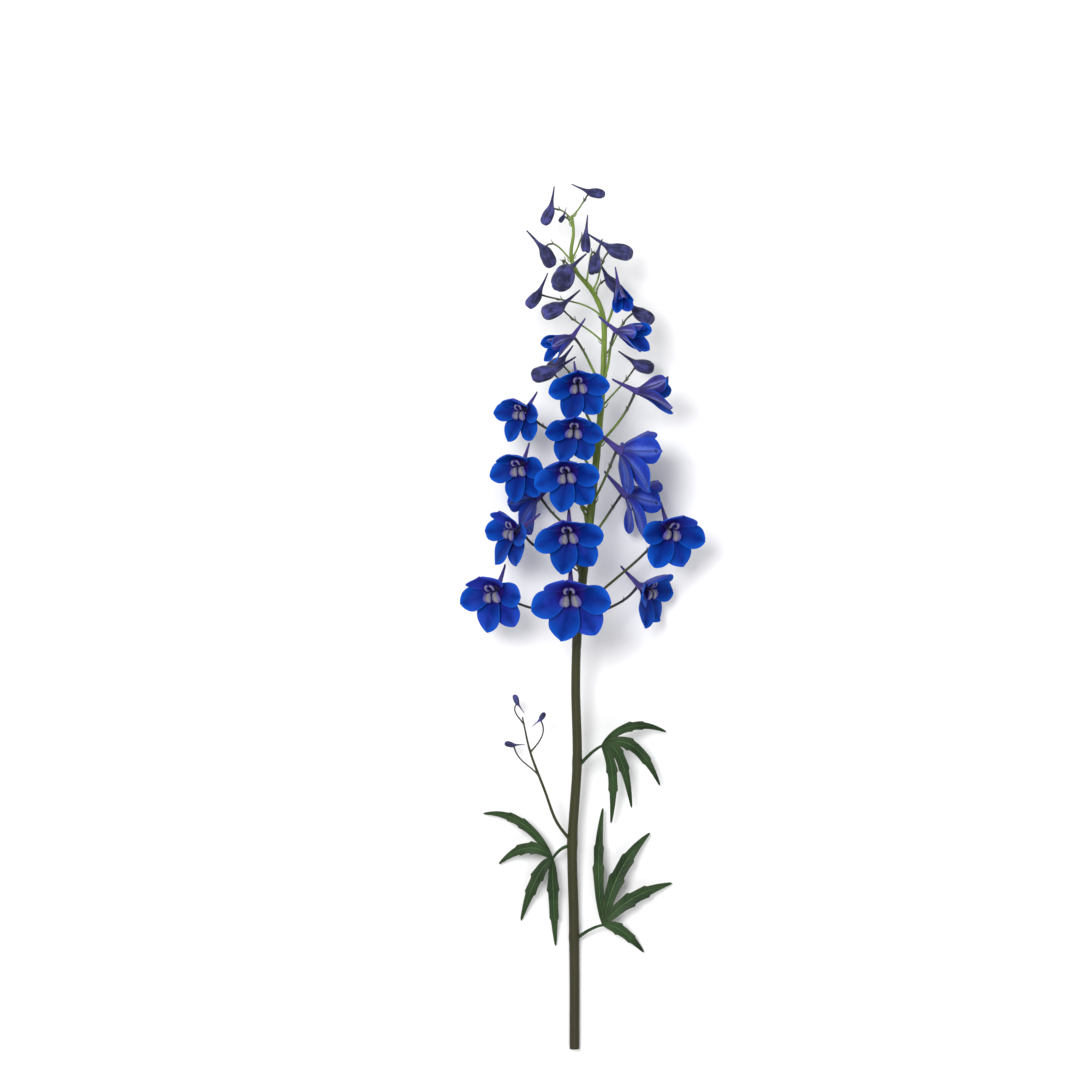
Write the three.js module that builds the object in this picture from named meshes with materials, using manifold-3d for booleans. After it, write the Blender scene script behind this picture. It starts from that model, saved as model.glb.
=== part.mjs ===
// A cut delphinium flower spike, lying at rest on a flat surface. Millimetres, +Z up.
// +Y runs along the stem from the cut end to the tip of the spike. The origin is on the surface,
// in the middle of the flat on which the foot of the stem lies.

import * as THREE from "three";
import { mergeVertices } from "three/addons/utils/BufferGeometryUtils.js";
import Module from "manifold-3d";

const wasm = await Module();
wasm.setup();

// ---------------------------------------------------------------- sizes

const GAP = 0.55; // clearance between two pieces that meet

// The foot of the stem lies flat on the surface, between these heights along the stem.
const FOOT_RINGS = [-25, -9, 20];
const FOOT_RADIUS = 3.4;
const STEM_SIDES = 8;

// Centre line of the stem above its foot, with the radius there: [x, y, z, radius].
const STEM_STATIONS = [
  [-0.5, 60, 5.4, 3.35],
  [-1.5, 106, 10.5, 3.25],
  [1.5, 158, 18, 3.15],
  [0.5, 204, 25, 3.05],
  [1.5, 240, 30, 2.9],
  [5.0, 275, 33.5, 2.75],
  [9.5, 312, 35.5, 2.55],
  [13.5, 350, 37, 2.3],
  [16.5, 384, 37.5, 2.0],
  [18.0, 412, 38, 1.8],
  [17.5, 437, 38.5, 1.6],
  [10.0, 454, 39, 1.45],
  [1.5, 464, 39.5, 1.35],
  [-2.5, 475, 40, 1.2],
  [-1.0, 489, 40.5, 1.0],
  [-2.0, 500, 41, 0.8],
];

const SEPAL_LENGTH = 25;
const SEPAL_THICKNESS = 0.65;
const SEPAL_ROWS = [0, 0.34, 0.68, 0.9, 1];
const SEPAL_COLUMNS = [-1, -0.42, 0.42, 1];
const HUB_RADIUS = 2.4; // the disc on which the five sepals stand
// An edge runs in front of, or behind, its neighbour's: a small step, and then this slope.
const LAP_STEP = 0.3;
const LAP = 0.19;
const MOST_WRAP = 0.9; // radians that half a sepal may reach round its cone
const FLATTEST = 0.12; // sine of the slope below which the cone gets no flatter
const OPENS_LATE = 3; // sepals turn and flatten mostly in a flower that is nearly open
// In a bud that is about to open, and in a flower that is fully open: a sepal's lean from the
// flower's face at its root and at its tip, in degrees, and its share of the full width.
const ROOT_LEAN = [88, 50];
const TIP_LEAN = [98, 6];
const WIDTH_SHARE = [0.6, 1];

// Each sepal: its angle round a closed flower and round an open one, its half width and its half
// width at the root, whether its two edges lie in front (1) or behind (-1), how far it leans
// forwards beyond the others at its root and its tip, in degrees, its share of the full length,
// how sharply it tapers to its tip, and how much flatter it is across than the cone. The fourth
// is the hood, a broad band that arches forwards over the eye.
const SEPALS = [
  [-126, -107, 9.2, 0.9, [-1, 1], [-5, -5], 1.15, 0.72, 1],
  [-54, -61, 9.2, 1.0, [-1, -1], [-5, -5], 1.12, 0.62, 1],
  [18, -10, 8.0, 1.25, [1, -1], [0, 0], 1.03, 0.6, 1],
  [90, 90, 12.8, 1.7, [0.7, 0.7], [-6, 58], 0.9, 0.4, 5],
  [162, 193, 8.0, 1.25, [-1, 1], [0, 0], 1.0, 0.65, 1],
].map(([closed, angle, width, root, laps, lean, length, taper, flat]) => {
  return { closed, angle, width, root, laps, lean, length, taper, flat };
});

// Points of a middle line with the radius there: [x, y, z, radius]. The spur starts as the small
// body behind the disc, and the stalk meets it from below.
const SPUR = [
  [0, 0.1, -1, 2],
  [0, 0.9, -3.2, 2],
  [0, 3.4, -7.6, 1.6],
  [0, 6.4, -13, 1.1],
  [0, 10.2, -19, 0.6],
];
const FLOWER_BACK = [0, -0.8, -3.5];
const FLOWER_ARRIVAL = [0, 0.92, 0.39];

// A closed bud, from the tip of its spur to its blunt end.
const BUD = [
  [0, 4.4, -12.6, 0.4],
  [0, 2.9, -8, 0.75],
  [0, 1.7, -3.8, 1.1],
  [0, 0.6, -0.2, 1.9],
  [0, 0, 3, 3.0],
  [0, 0, 7.2, 3.3],
  [0, 0, 10.9, 2.5],
  [0, 0, 12.2, 1.0],
];
const BUD_SIDES = 6;
const BUD_BACK = [0, -1.55, 0.2];
const BUD_ARRIVAL = [0, 0.9, 0.43];

const FLOWER_STALK_RADIUS = 0.9;
const BUD_STALK_RADIUS = 0.65;
const SHOOT_STALK_RADIUS = 0.52;
const STALK_SIDES = 5;
const STALK_STEPS = 4;
const STALK_FLARE = 0.2; // a stalk is this much thicker at the stem
const STALK_REACH = 0.4; // how far its two bends lie from its ends, as a share of its length
const STALK_RISE = 1.07; // its slope up the stem where it leaves it
const STALK_UP = new THREE.Vector3(0.37, 0.13, 0.92).normalize(); // a way that no stalk runs

// ---------------------------------------------------------------- where the flowers are

// at is where a flower's receptacle is, face is the way that the flower looks, roll turns it in
// its own plane, open is how far it has opened, and from is how far up the stem its stalk starts.
const BLOOMS = [
  { at: [-3, 266, 63], face: [-0.06, -0.46, 1], roll: 5, scale: 1.04, open: 1, from: 234 },
  { at: [-4, 304, 63], face: [-0.1, -0.46, 1], roll: 8, scale: 0.91, open: 0.97, from: 270 },
  { at: [-5, 341, 64], face: [-0.12, -0.46, 1], roll: 8, scale: 0.86, open: 0.97, from: 307 },
  { at: [-1, 368, 62], face: [0, -0.42, 1], roll: -4, scale: 0.76, open: 0.93, from: 337 },
  { at: [1, 395.4, 63.9], face: [0.08, -0.36, 1], roll: 6, scale: 0.8, open: 0.93, from: 361 },
  { at: [-49, 267, 36], face: [-0.5, -0.42, 1], roll: 5, scale: 0.92, open: 0.97, from: 241 },
  { at: [-35, 304, 42], face: [-1, -0.1, 0.8], roll: -8, scale: 0.86, open: 0.94, from: 278 },
  { at: [-33, 345, 44], face: [-0.5, -0.44, 1], roll: 6, scale: 0.8, open: 0.95, from: 314 },
  { at: [-31, 379, 43], face: [-0.72, -0.34, 1], roll: -4, scale: 0.74, open: 0.88, from: 350 },
  { at: [58, 306, 38], face: [0.42, -0.44, 1], roll: -6, scale: 0.9, open: 0.97, from: 252 },
  { at: [42, 268, 23], face: [1, -0.3, 0.5], roll: 6, scale: 0.88, open: 0.94, from: 242 },
  { at: [28.5, 353, 53], face: [0.82, -0.12, -0.5], roll: -8, scale: 1.04, open: 0.9, from: 320 },
  { at: [-24, 324, 22.04], face: [-1, -0.2, -0.4], roll: 0, scale: 0.84, open: 0.92, from: 294 },
  { at: [32.5, 326, 26.47], face: [0.9, -0.25, -0.42], roll: 4, scale: 0.98, open: 0.88, from: 296 },
];

// Flowers that are still cups, in the same terms.
const OPENING = [
  { at: [40, 390, 46], face: [1, 0.06, 0.1], roll: -10, scale: 0.86, open: 0.55, from: 356 },
  { at: [27, 427, 48], face: [0.9, -0.15, 0.5], roll: 8, scale: 0.76, open: 0.42, from: 398 },
  { at: [-3, 423, 50], face: [-0.85, -0.42, 0.4], roll: -8, scale: 0.72, open: 0.36, from: 394 },
  { at: [27, 455, 46], face: [0.2, -0.75, 0.65], roll: 10, scale: 0.6, open: 0.3, from: 430 },
];

// Closed buds, from the lowest to the two at the tip. girth is for one that is swollen.
const BUDS = [
  { at: [-13, 403, 40], face: [-1, -0.25, 0.15], roll: 0, scale: 1.2, girth: 1.25, from: 382 },
  { at: [-8, 443, 44], face: [-0.8, -0.35, 0.4], roll: 0, scale: 1.2, girth: 1.25, from: 420 },
  { at: [-4, 466, 56.5], face: [-0.42, -0.8, 0.45], roll: 200, scale: 1.25, girth: 1.6, from: 446 },
  { at: [37, 441, 36], face: [0.85, -0.5, 0.1], roll: 0, scale: 1.1, girth: 1.2, from: 412 },
  { at: [21, 479, 45], face: [1, -0.28, 0.1], roll: 0, scale: 1.2, girth: 1.25, from: 453 },
  { at: [13, 474, 55], face: [-0.15, -0.95, 0.3], roll: 180, scale: 1.0, girth: 1.15, from: 458 },
  { at: [-20, 480, 41], face: [0.42, -0.9, 0.05], roll: 180, scale: 1.1, girth: 1.2, from: 471 },
  { at: [6.5, 488, 41], face: [0.02, -1, 0.05], roll: 0, scale: 0.92, girth: 1.0, from: 473 },
  { at: [-7, 499.5, 43], face: [-0.5, -0.75, 0.3], roll: 0, scale: 0.42, girth: 1.1, from: 493 },
  { at: [-14.5, 505, 41], face: [-0.43, -0.9, 0.05], roll: 0, scale: 0.98, girth: 1.1, from: 497 },
  { at: [8, 514.5, 40], face: [1, -0.13, 0.1], roll: 0, scale: 0.85, girth: 1.1, from: 499 },
  { at: [-22, 452, 36], face: [-0.6, -0.7, 0.2], roll: 0, scale: 1.0, girth: 1.1, from: 436 },
  { at: [20, 462, 27], face: [0.6, -0.6, -0.3], roll: 0, scale: 1.0, girth: 1.1, from: 450 },
  { at: [-8, 410, 22], face: [-0.5, -0.3, -0.7], roll: 0, scale: 1.1, girth: 1.2, from: 388 },
  { at: [38, 408, 26], face: [0.8, -0.2, -0.5], roll: 0, scale: 1.1, girth: 1.2, from: 380 },
];

// A thin side shoot with its own small buds; from runs from 0 to 1 along it.
const SHOOT = [
  [-3, 108, 11.5, 1.0],
  [-12, 121, 17, 0.95],
  [-19, 140, 20, 0.85],
  [-28, 164, 20, 0.75],
  [-33, 186, 17, 0.6],
];
const SHOOT_BUDS = [
  { at: [-38, 168, 16], face: [-0.9, 0.2, -0.1], roll: 0, scale: 0.5, girth: 1.1, from: 0.6 },
  { at: [-22, 184, 20], face: [0.5, 0.8, 0.1], roll: 0, scale: 0.46, girth: 1.1, from: 0.75 },
  { at: [-36, 194, 15], face: [-0.3, 0.9, -0.1], roll: 0, scale: 0.5, girth: 1.1, from: 0.96 },
];

// Leaves: a stalk from the stem to the palm, and lobes that bend through a point to their tips.
const LEAF_ROWS = [0, 0.28, 0.56, 0.82, 1];
const LEAF_THICKNESS = 0.75;
const LEAF_FOLD = 0.32; // rise of a lobe's edges above its midrib
const LOBE_ROOT = 0.45; // half width of a lobe where it joins the others
const LEAF_STALK_RADII = [1.1, 0.9]; // at the stem and at the palm
const LEAF_STALK_STEPS = 3;
const LEAF_STALK_ARCH = new THREE.Vector3(0, 3, 2);
const LEAVES = [
  {
    from: 157,
    palm: [17, 168, 21],
    lobes: [
      { through: [30, 174, 24], tip: [36, 128, 9], width: 3.2 },
      { through: [27, 160, 24], tip: [23, 118, 7], width: 3.0 },
      { through: [38, 180, 22], tip: [54, 142, 8], width: 3.4 },
      { through: [34, 188, 18], tip: [58, 176, 6], width: 2.6 },
    ],
  },
  {
    from: 104,
    palm: [-14, 96, 10],
    lobes: [
      { through: [-28, 112, 16], tip: [-48, 92, 2], width: 3.4 },
      { through: [-24, 92, 14], tip: [-34, 56, 1.5], width: 3.6 },
      { through: [-14, 78, 11], tip: [-12, 40, 1.5], width: 3.2 },
      { through: [-32, 128, 15], tip: [-58, 124, 3], width: 2.8 },
    ],
  },
  {
    from: 46,
    palm: [18, 54, 8],
    lobes: [
      { through: [24, 92, 14], tip: [48, 112, 3], width: 4.2 },
      { through: [32, 74, 13], tip: [62, 80, 2], width: 4.0 },
      { through: [28, 56, 11], tip: [44, 36, 1.5], width: 3.4 },
      { through: [12, 92, 13], tip: [18, 128, 5], width: 3.0 },
    ],
  },
];

// ---------------------------------------------------------------- solids

const { degToRad, lerp } = THREE.MathUtils;
const X = new THREE.Vector3(1, 0, 0);
const Z = new THREE.Vector3(0, 0, 1);
const vec = (p) => new THREE.Vector3(p[0], p[1], p[2]);

function solid(geometry) {
  geometry.deleteAttribute("normal");
  geometry.deleteAttribute("uv");
  const merged = mergeVertices(geometry, 1e-4);
  const index = merged.index.array;
  const kept = [];
  for (let i = 0; i < index.length; i += 3) {
    const [a, b, c] = index.slice(i, i + 3);
    if (a !== b && b !== c && c !== a) kept.push(a, b, c);
  }
  const vertProperties = merged.attributes.position.array;
  const made = (faces) => {
    const triVerts = new Uint32Array(faces);
    return new wasm.Manifold(new wasm.Mesh({ numProp: 3, vertProperties, triVerts }));
  };
  const first = made(kept);
  return first.volume() > 0 ? first : made(kept.reverse());
}

function closedGeometry(places, faces) {
  const geometry = new THREE.BufferGeometry().setFromPoints(places);
  geometry.setIndex(faces);
  return geometry;
}

// The faces between rings of n points. A blade's ring is its front row and then its back row in
// reverse, and both of its sides are split into triangles alike.
function sideFaces(rings, n, isBlade) {
  const faces = [];
  for (let i = 0; i + 1 < rings; i++) {
    for (let j = 0; j < n; j++) {
      const a = i * n + j;
      const b = i * n + ((j + 1) % n);
      if (isBlade && j >= n / 2) faces.push(a, b, a + n, b, b + n, a + n);
      else faces.push(a, b, b + n, a, b + n, a + n);
    }
  }
  return faces;
}

// The faces that close a ring of n points, facing the way that the rings run.
function endFaces(n) {
  const faces = [];
  for (let a = 0; a < n / 2 - 1; a++) {
    const [b, c, d] = [a + 1, n - 2 - a, n - 1 - a];
    if (b !== c) faces.push(a, b, c);
    if (a !== d) faces.push(a, c, d);
  }
  return faces;
}

function loft(rings, isBlade = false) {
  const n = rings[0].length;
  const last = (rings.length - 1) * n;
  const top = endFaces(n).map((i) => last + i);
  const faces = [...sideFaces(rings.length, n, isBlade), ...endFaces(n).reverse(), ...top];
  return solid(closedGeometry(rings.flat(), faces));
}

// Joins solids that grow from one another into one body, without loose scraps.
function fused(solids) {
  const bodies = solids.reduce((a, b) => a.add(b)).decompose();
  return bodies.reduce((a, b) => (b.volume() > a.volume() ? b : a));
}

// The ring of a rod about centre, square to along. up is a way that the rod never runs.
function ring(centre, along, up, radius, sides) {
  const side = along.clone().cross(up).normalize();
  const over = side.clone().cross(along);
  return Array.from({ length: sides }, (_, k) => {
    const angle = ((k + 0.5) * 2 * Math.PI) / sides - Math.PI / 2;
    const place = centre.clone().addScaledVector(side, Math.cos(angle) * radius);
    return place.addScaledVector(over, Math.sin(angle) * radius);
  });
}

function rod(curve, steps, radiusAt, sides, up) {
  const rings = Array.from({ length: steps + 1 }, (_, i) => {
    const u = i / steps;
    return ring(curve.getPoint(u), curve.getTangent(u), up, radiusAt(u), sides);
  });
  return loft(rings);
}

// Stations are [x, y, z, radius], with one ring at each.
function stationCurve(stations, scale) {
  return new THREE.CatmullRomCurve3(stations.map((s) => vec(s).multiplyScalar(scale)));
}

function rodRings(curve, stations, scale, sides, up) {
  return stations.map((station, i) => {
    const u = i / (stations.length - 1);
    return ring(curve.getPoint(u), curve.getTangent(u), up, station[3] * scale, sides);
  });
}

function taperedRod(stations, scale, sides, up) {
  return loft(rodRings(stationCurve(stations, scale), stations, scale, sides, up));
}

// The rings of a thin blade: place(t, v) gives the middle of its wall and its normal, t from root
// to tip and v from edge to edge.
function bladeRings(place, ts, vs, thickness) {
  return ts.map((t) => {
    const row = vs.map((v) => place(t, v));
    const front = row.map(([p, n]) => p.clone().addScaledVector(n, thickness / 2));
    const back = row.map(([p, n]) => p.clone().addScaledVector(n, -thickness / 2));
    return [...front, ...back.reverse()];
  });
}

function meshOf(made, name, color, roughness) {
  const { numProp, vertProperties, triVerts } = made.getMesh();
  const places = vertProperties.filter((_, i) => i % numProp < 3);
  const geometry = new THREE.BufferGeometry();
  geometry.setAttribute("position", new THREE.BufferAttribute(places, 3));
  geometry.setIndex(new THREE.BufferAttribute(new Uint32Array(triVerts), 1));
  geometry.computeVertexNormals();
  const material = new THREE.MeshStandardMaterial({ color, roughness, metalness: 0 });
  const mesh = new THREE.Mesh(geometry, material);
  mesh.name = name;
  return mesh;
}

// ---------------------------------------------------------------- one flower

// A flower's own frame: x to its right, y up towards its spur, z the way that it faces.
function frameOf({ at, face, roll }) {
  const front = vec(face).normalize();
  const up = new THREE.Vector3(0, 1, 0).addScaledVector(front, -front.y).normalize();
  const frame = new THREE.Matrix4().makeBasis(up.clone().cross(front), up, front);
  frame.multiply(new THREE.Matrix4().makeRotationZ(degToRad(roll)));
  return frame.setPosition(...at);
}

// Share of a sepal's half width at t along it: widest past the middle, and tapered to its tip.
function sepalWidth(t, taper) {
  return 1.78 * Math.pow(t, 0.62) * Math.pow(1 - 0.985 * Math.pow(t, 2.5), taper);
}

// A sepal climbs from the receptacle and bends outwards, further on an open flower. Across, it is
// wrapped round the cone on which all five lie, with each edge in front of or behind the next one.
function sepal(flower, { closed, angle, width, root, laps, lean, length, taper, flat }) {
  const late = flower.open ** OPENS_LATE;
  const full = SEPAL_LENGTH * flower.scale * length;
  const halfWidth = width * flower.scale * lerp(...WIDTH_SHARE, flower.open);
  const rootLean = degToRad(lerp(...ROOT_LEAN, flower.open) + lean[0] * flower.open);
  const tipLean = degToRad(lerp(...TIP_LEAN, flower.open) + lean[1] * flower.open);
  const bend = tipLean - rootLean;
  const flattening = (flat - 1) * late ** 2;
  const hubRadius = HUB_RADIUS * Math.sqrt(flower.scale);
  const turn = degToRad(lerp(closed, angle, late));
  const out = new THREE.Vector3(Math.cos(turn), Math.sin(turn), 0);
  const across = new THREE.Vector3(-Math.sin(turn), Math.cos(turn), 0);
  return (t, v) => {
    const slope = rootLean + bend * t;
    const radius = hubRadius + (full * (Math.sin(slope) - Math.sin(rootLean))) / bend;
    const height = (-full * (Math.cos(slope) - Math.cos(rootLean))) / bend;
    const normal = Z.clone().multiplyScalar(Math.cos(slope)).addScaledVector(out, -Math.sin(slope));
    const wrap = ((1 + flattening * t) * radius) / Math.max(Math.sin(slope), FLATTEST);
    const half = root * flower.scale * (1 - t) ** 6 + halfWidth * sepalWidth(t, taper);
    const offset = v * Math.min(half, MOST_WRAP * wrap);
    const round = offset / wrap;
    const facing = normal.clone().multiplyScalar(Math.cos(round));
    facing.addScaledVector(across, -Math.sin(round));
    const distance = Math.abs(offset);
    const lap = (LAP * distance + LAP_STEP * (1 - Math.exp(-distance))) * laps[v < 0 ? 0 : 1];
    const middle = out.clone().multiplyScalar(radius).addScaledVector(Z, height);
    middle.addScaledVector(across, wrap * Math.sin(round));
    middle.addScaledVector(normal, wrap * (1 - Math.cos(round)));
    return [middle.addScaledVector(facing, lap), facing];
  };
}

// The five sepals grow from the rim of one small disc, and the spur from its back, as one closed
// mesh. Each corner of the spur's first ring belongs to the sepal that stands over it.
function corolla(flower) {
  const across = SEPAL_COLUMNS.length;
  const ringSize = 2 * across;
  const size = SEPAL_ROWS.length * ringSize;
  const count = SEPALS.length;
  const spurCurve = stationCurve(SPUR, flower.scale);
  const spurRings = rodRings(spurCurve, SPUR, flower.scale, count, X);
  const spurFirst = 1 + count * size;
  const spurSize = spurRings.length * count;
  const places = [new THREE.Vector3(0, 0, SEPAL_THICKNESS / 2)];
  const faces = [];
  SEPALS.forEach((kind, s) => {
    const rings = bladeRings(sepal(flower, kind), SEPAL_ROWS, SEPAL_COLUMNS, SEPAL_THICKNESS);
    places.push(...rings.flat());
    const first = 1 + s * size;
    const after = (s + 1) % count;
    const next = 1 + after * size;
    faces.push(...sideFaces(SEPAL_ROWS.length, ringSize, true).map((i) => i + first));
    faces.push(...endFaces(ringSize).map((i) => i + first + size - ringSize));
    for (let j = 0; j + 1 < across; j++) {
      faces.push(0, first + j + 1, first + j);
      faces.push(spurFirst + s, first + across + j + 1, first + across + j);
    }
    const [front, back] = [first + across - 1, first + across];
    const [nextFront, nextBack] = [next, next + ringSize - 1];
    faces.push(0, nextFront, front, back, front, nextFront, back, nextFront, nextBack);
    faces.push(spurFirst + s, back, nextBack, spurFirst + s, nextBack, spurFirst + after);
  });
  places.push(...spurRings.flat());
  faces.push(...sideFaces(spurRings.length, count, false).map((i) => i + spurFirst));
  faces.push(...endFaces(count).map((i) => i + spurFirst + spurSize - count));
  return solid(closedGeometry(places, faces));
}

function closedBud({ scale, girth }) {
  const stations = BUD.map(([x, y, z, r]) => [x, y, z, z > 0 ? r * girth : r]);
  return taperedRod(stations, scale, BUD_SIDES, X);
}

// ---------------------------------------------------------------- the eye

const EYE_THICKNESS = 0.8;
const EYE_SPREAD = [0.2, 1]; // in a bud that is about to open, and in an open flower
const EYE_SCALE = [0.4, 1]; // an eye shrinks less than its flower does: from nothing to full size
const STAMEN_SIDES = 4;
const STAMENS = [
  [0, 0, 1.5, 1.5],
  [0, -1.3, 4.7, 1.9],
  [0, -4.4, 7.6, 1.6],
];
// The four petals of the eye, as middle line, half widths and the way across: two stand up side by
// side, and two broader ones spread below them.
const EYE_PETALS = [-1, 1].flatMap((side) => [
  {
    line: [
      [0.9 * side, 0.55, 2.8],
      [2.1 * side, 1.9, 7.4],
      [2.3 * side, 4.0, 9.0],
      [1.2 * side, 5.6, 9.4],
    ],
    widths: [0.45, 0.75, 0.8, 0.7],
    across: [1, 0.35 * side, 0],
  },
  {
    line: [
      [0.9 * side, -0.6, 3.0],
      [2.5 * side, -0.3, 7.4],
      [3.6 * side, -2.7, 9.4],
      [3.8 * side, -5.9, 9.2],
    ],
    widths: [0.45, 1.9, 2.8, 1.5],
    across: [side, 0.1, 0],
  },
]);

function eye(flower) {
  const scale = lerp(...EYE_SCALE, flower.scale);
  const spread = lerp(...EYE_SPREAD, flower.open);
  const parts = [taperedRod(STAMENS, scale, STAMEN_SIDES, X)];
  for (const { line, widths, across } of EYE_PETALS) {
    const points = line.map(([x, y, z]) => new THREE.Vector3(x * spread, y * spread, z));
    const crosswise = vec(across).normalize();
    const place = (i, v) => {
      const before = points[Math.max(i - 1, 0)];
      const after = points[Math.min(i + 1, points.length - 1)];
      const normal = after.clone().sub(before).cross(crosswise).normalize();
      const middle = points[i].clone().addScaledVector(crosswise, v * widths[i] * spread);
      return [middle.multiplyScalar(scale), normal];
    };
    parts.push(loft(bladeRings(place, [...points.keys()], [-1, 1], EYE_THICKNESS), true));
  }
  return fused(parts);
}

// ---------------------------------------------------------------- stem and stalks

const footHeight = FOOT_RADIUS * Math.cos(Math.PI / STEM_SIDES);
const foot = FOOT_RINGS.map((y) => new THREE.Vector3(0, y, footHeight));
const stemPoints = [foot[0], foot[2], ...STEM_STATIONS.map(vec)];
const stemRadii = [FOOT_RADIUS, FOOT_RADIUS, ...STEM_STATIONS.map((s) => s[3])];
const stemCurve = new THREE.CatmullRomCurve3(stemPoints);

// The point on the stem's middle line at a distance y up it.
function stemPointAt(y) {
  let low = 0;
  let high = 1;
  while (high - low > 1e-7) {
    const middle = (low + high) / 2;
    if (stemCurve.getPoint(middle).y < y) low = middle;
    else high = middle;
  }
  return stemCurve.getPoint(low);
}

function mainStem() {
  const alongY = new THREE.Vector3(0, 1, 0);
  const rings = foot.map((p) => ring(p, alongY, Z, FOOT_RADIUS, STEM_SIDES));
  for (let k = 2; k < stemPoints.length; k++) {
    const along = stemCurve.getTangent(k / (stemPoints.length - 1));
    rings.push(ring(stemPoints[k], along, Z, stemRadii[k], STEM_SIDES));
  }
  return loft(rings);
}

// A stalk leaves its stem outwards and upwards, and bends over to meet the back of its flower.
function stalk(start, flower, back, arrival, radius) {
  const frame = frameOf(flower);
  const girth = flower.girth ?? 1;
  const inwards = vec(arrival).transformDirection(frame);
  const end = vec(back).multiplyScalar(flower.scale);
  end.setY(end.y * girth).applyMatrix4(frame).addScaledVector(inwards, -GAP);
  const leaving = end.clone().sub(start).setY(0).normalize().setY(STALK_RISE).normalize();
  const reach = end.distanceTo(start) * STALK_REACH;
  const firstBend = start.clone().addScaledVector(leaving, reach);
  const secondBend = end.clone().addScaledVector(inwards, -reach);
  const curve = new THREE.CubicBezierCurve3(start, firstBend, secondBend, end);
  const radiusAt = (u) => radius * (1 + STALK_FLARE * Math.max(0, 1 - 4 * u));
  return rod(curve, STALK_STEPS, radiusAt, STALK_SIDES, STALK_UP);
}

const shootCurve = new THREE.CatmullRomCurve3(SHOOT.map(vec));

function greenParts() {
  const parts = [mainStem()];
  for (const flower of [...BLOOMS, ...OPENING]) {
    const start = stemPointAt(flower.from);
    parts.push(stalk(start, flower, FLOWER_BACK, FLOWER_ARRIVAL, FLOWER_STALK_RADIUS));
  }
  for (const bud of BUDS) {
    parts.push(stalk(stemPointAt(bud.from), bud, BUD_BACK, BUD_ARRIVAL, BUD_STALK_RADIUS));
  }
  parts.push(taperedRod(SHOOT, 1, STALK_SIDES, Z));
  for (const bud of SHOOT_BUDS) {
    const start = shootCurve.getPoint(bud.from);
    parts.push(stalk(start, bud, BUD_BACK, BUD_ARRIVAL, SHOOT_STALK_RADIUS));
  }
  return fused(parts);
}

// ---------------------------------------------------------------- leaves

function leafLobe(palm, { through, tip, width }) {
  const curve = new THREE.QuadraticBezierCurve3(palm, vec(through), vec(tip));
  const place = (t, v) => {
    const along = curve.getTangent(t);
    const crosswise = along.clone().cross(Z).normalize();
    const normal = crosswise.clone().cross(along);
    const bulge = Math.sin(Math.PI * t ** 0.8) ** 0.85;
    const offset = v * lerp(LOBE_ROOT, width, bulge);
    const middle = curve.getPoint(t).addScaledVector(crosswise, offset);
    return [middle.addScaledVector(normal, LEAF_FOLD * Math.abs(offset)), normal];
  };
  return loft(bladeRings(place, LEAF_ROWS, [-1, 0, 1], LEAF_THICKNESS), true);
}

function leaf({ from, palm, lobes }) {
  const root = stemPointAt(from);
  const end = vec(palm);
  const away = end.clone().sub(root).setY(0).normalize();
  const clear = FOOT_RADIUS + 1.5 * GAP;
  const start = root.clone().addScaledVector(away, clear);
  const bend = start.clone().lerp(end, 0.5).add(LEAF_STALK_ARCH);
  const curve = new THREE.QuadraticBezierCurve3(start, bend, end);
  const parts = [rod(curve, LEAF_STALK_STEPS, (u) => lerp(...LEAF_STALK_RADII, u), STALK_SIDES, Z)];
  const palmPoint = curve.getPoint(0.96);
  for (const lobe of lobes) parts.push(leafLobe(palmPoint, lobe));
  return fused(parts);
}

// ---------------------------------------------------------------- the whole spike

const STEM_GREEN = 0x7f9440;
const SEPAL_BLUE = 0x0b2fc4;
const OPENING_VIOLET = 0x3b3aa8;
const EYE_LILAC = 0xb9aecb;
const BUD_SLATE = 0x3a3a66;
const LEAF_GREEN = 0x3f5c38;

const spike = new THREE.Group();
const numbered = (word, i) => `${word}_${String(i + 1).padStart(2, "0")}`;

// Puts a flower's meshes, made in its own frame, in their place on the spike.
function setOnSpike(flower, ...meshes) {
  const group = new THREE.Group();
  group.applyMatrix4(frameOf(flower));
  spike.add(group.add(...meshes));
}

spike.add(meshOf(greenParts(), "stem", STEM_GREEN, 0.6));
LEAVES.forEach((kind, i) => spike.add(meshOf(leaf(kind), numbered("leaf", i), LEAF_GREEN, 0.6)));
BLOOMS.forEach((flower, i) => {
  const blue = meshOf(corolla(flower), numbered("bloom", i), SEPAL_BLUE, 0.5);
  setOnSpike(flower, blue, meshOf(eye(flower), numbered("eye", i), EYE_LILAC, 0.6));
});
OPENING.forEach((flower, i) => {
  setOnSpike(flower, meshOf(corolla(flower), numbered("opening", i), OPENING_VIOLET, 0.5));
});
BUDS.forEach((bud, i) => {
  setOnSpike(bud, meshOf(closedBud(bud), numbered("bud", i), BUD_SLATE, 0.55));
});
SHOOT_BUDS.forEach((bud, i) => {
  setOnSpike(bud, meshOf(closedBud(bud), numbered("shoot_bud", i), BUD_SLATE, 0.55));
});

export default spike;
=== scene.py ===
import math

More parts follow.
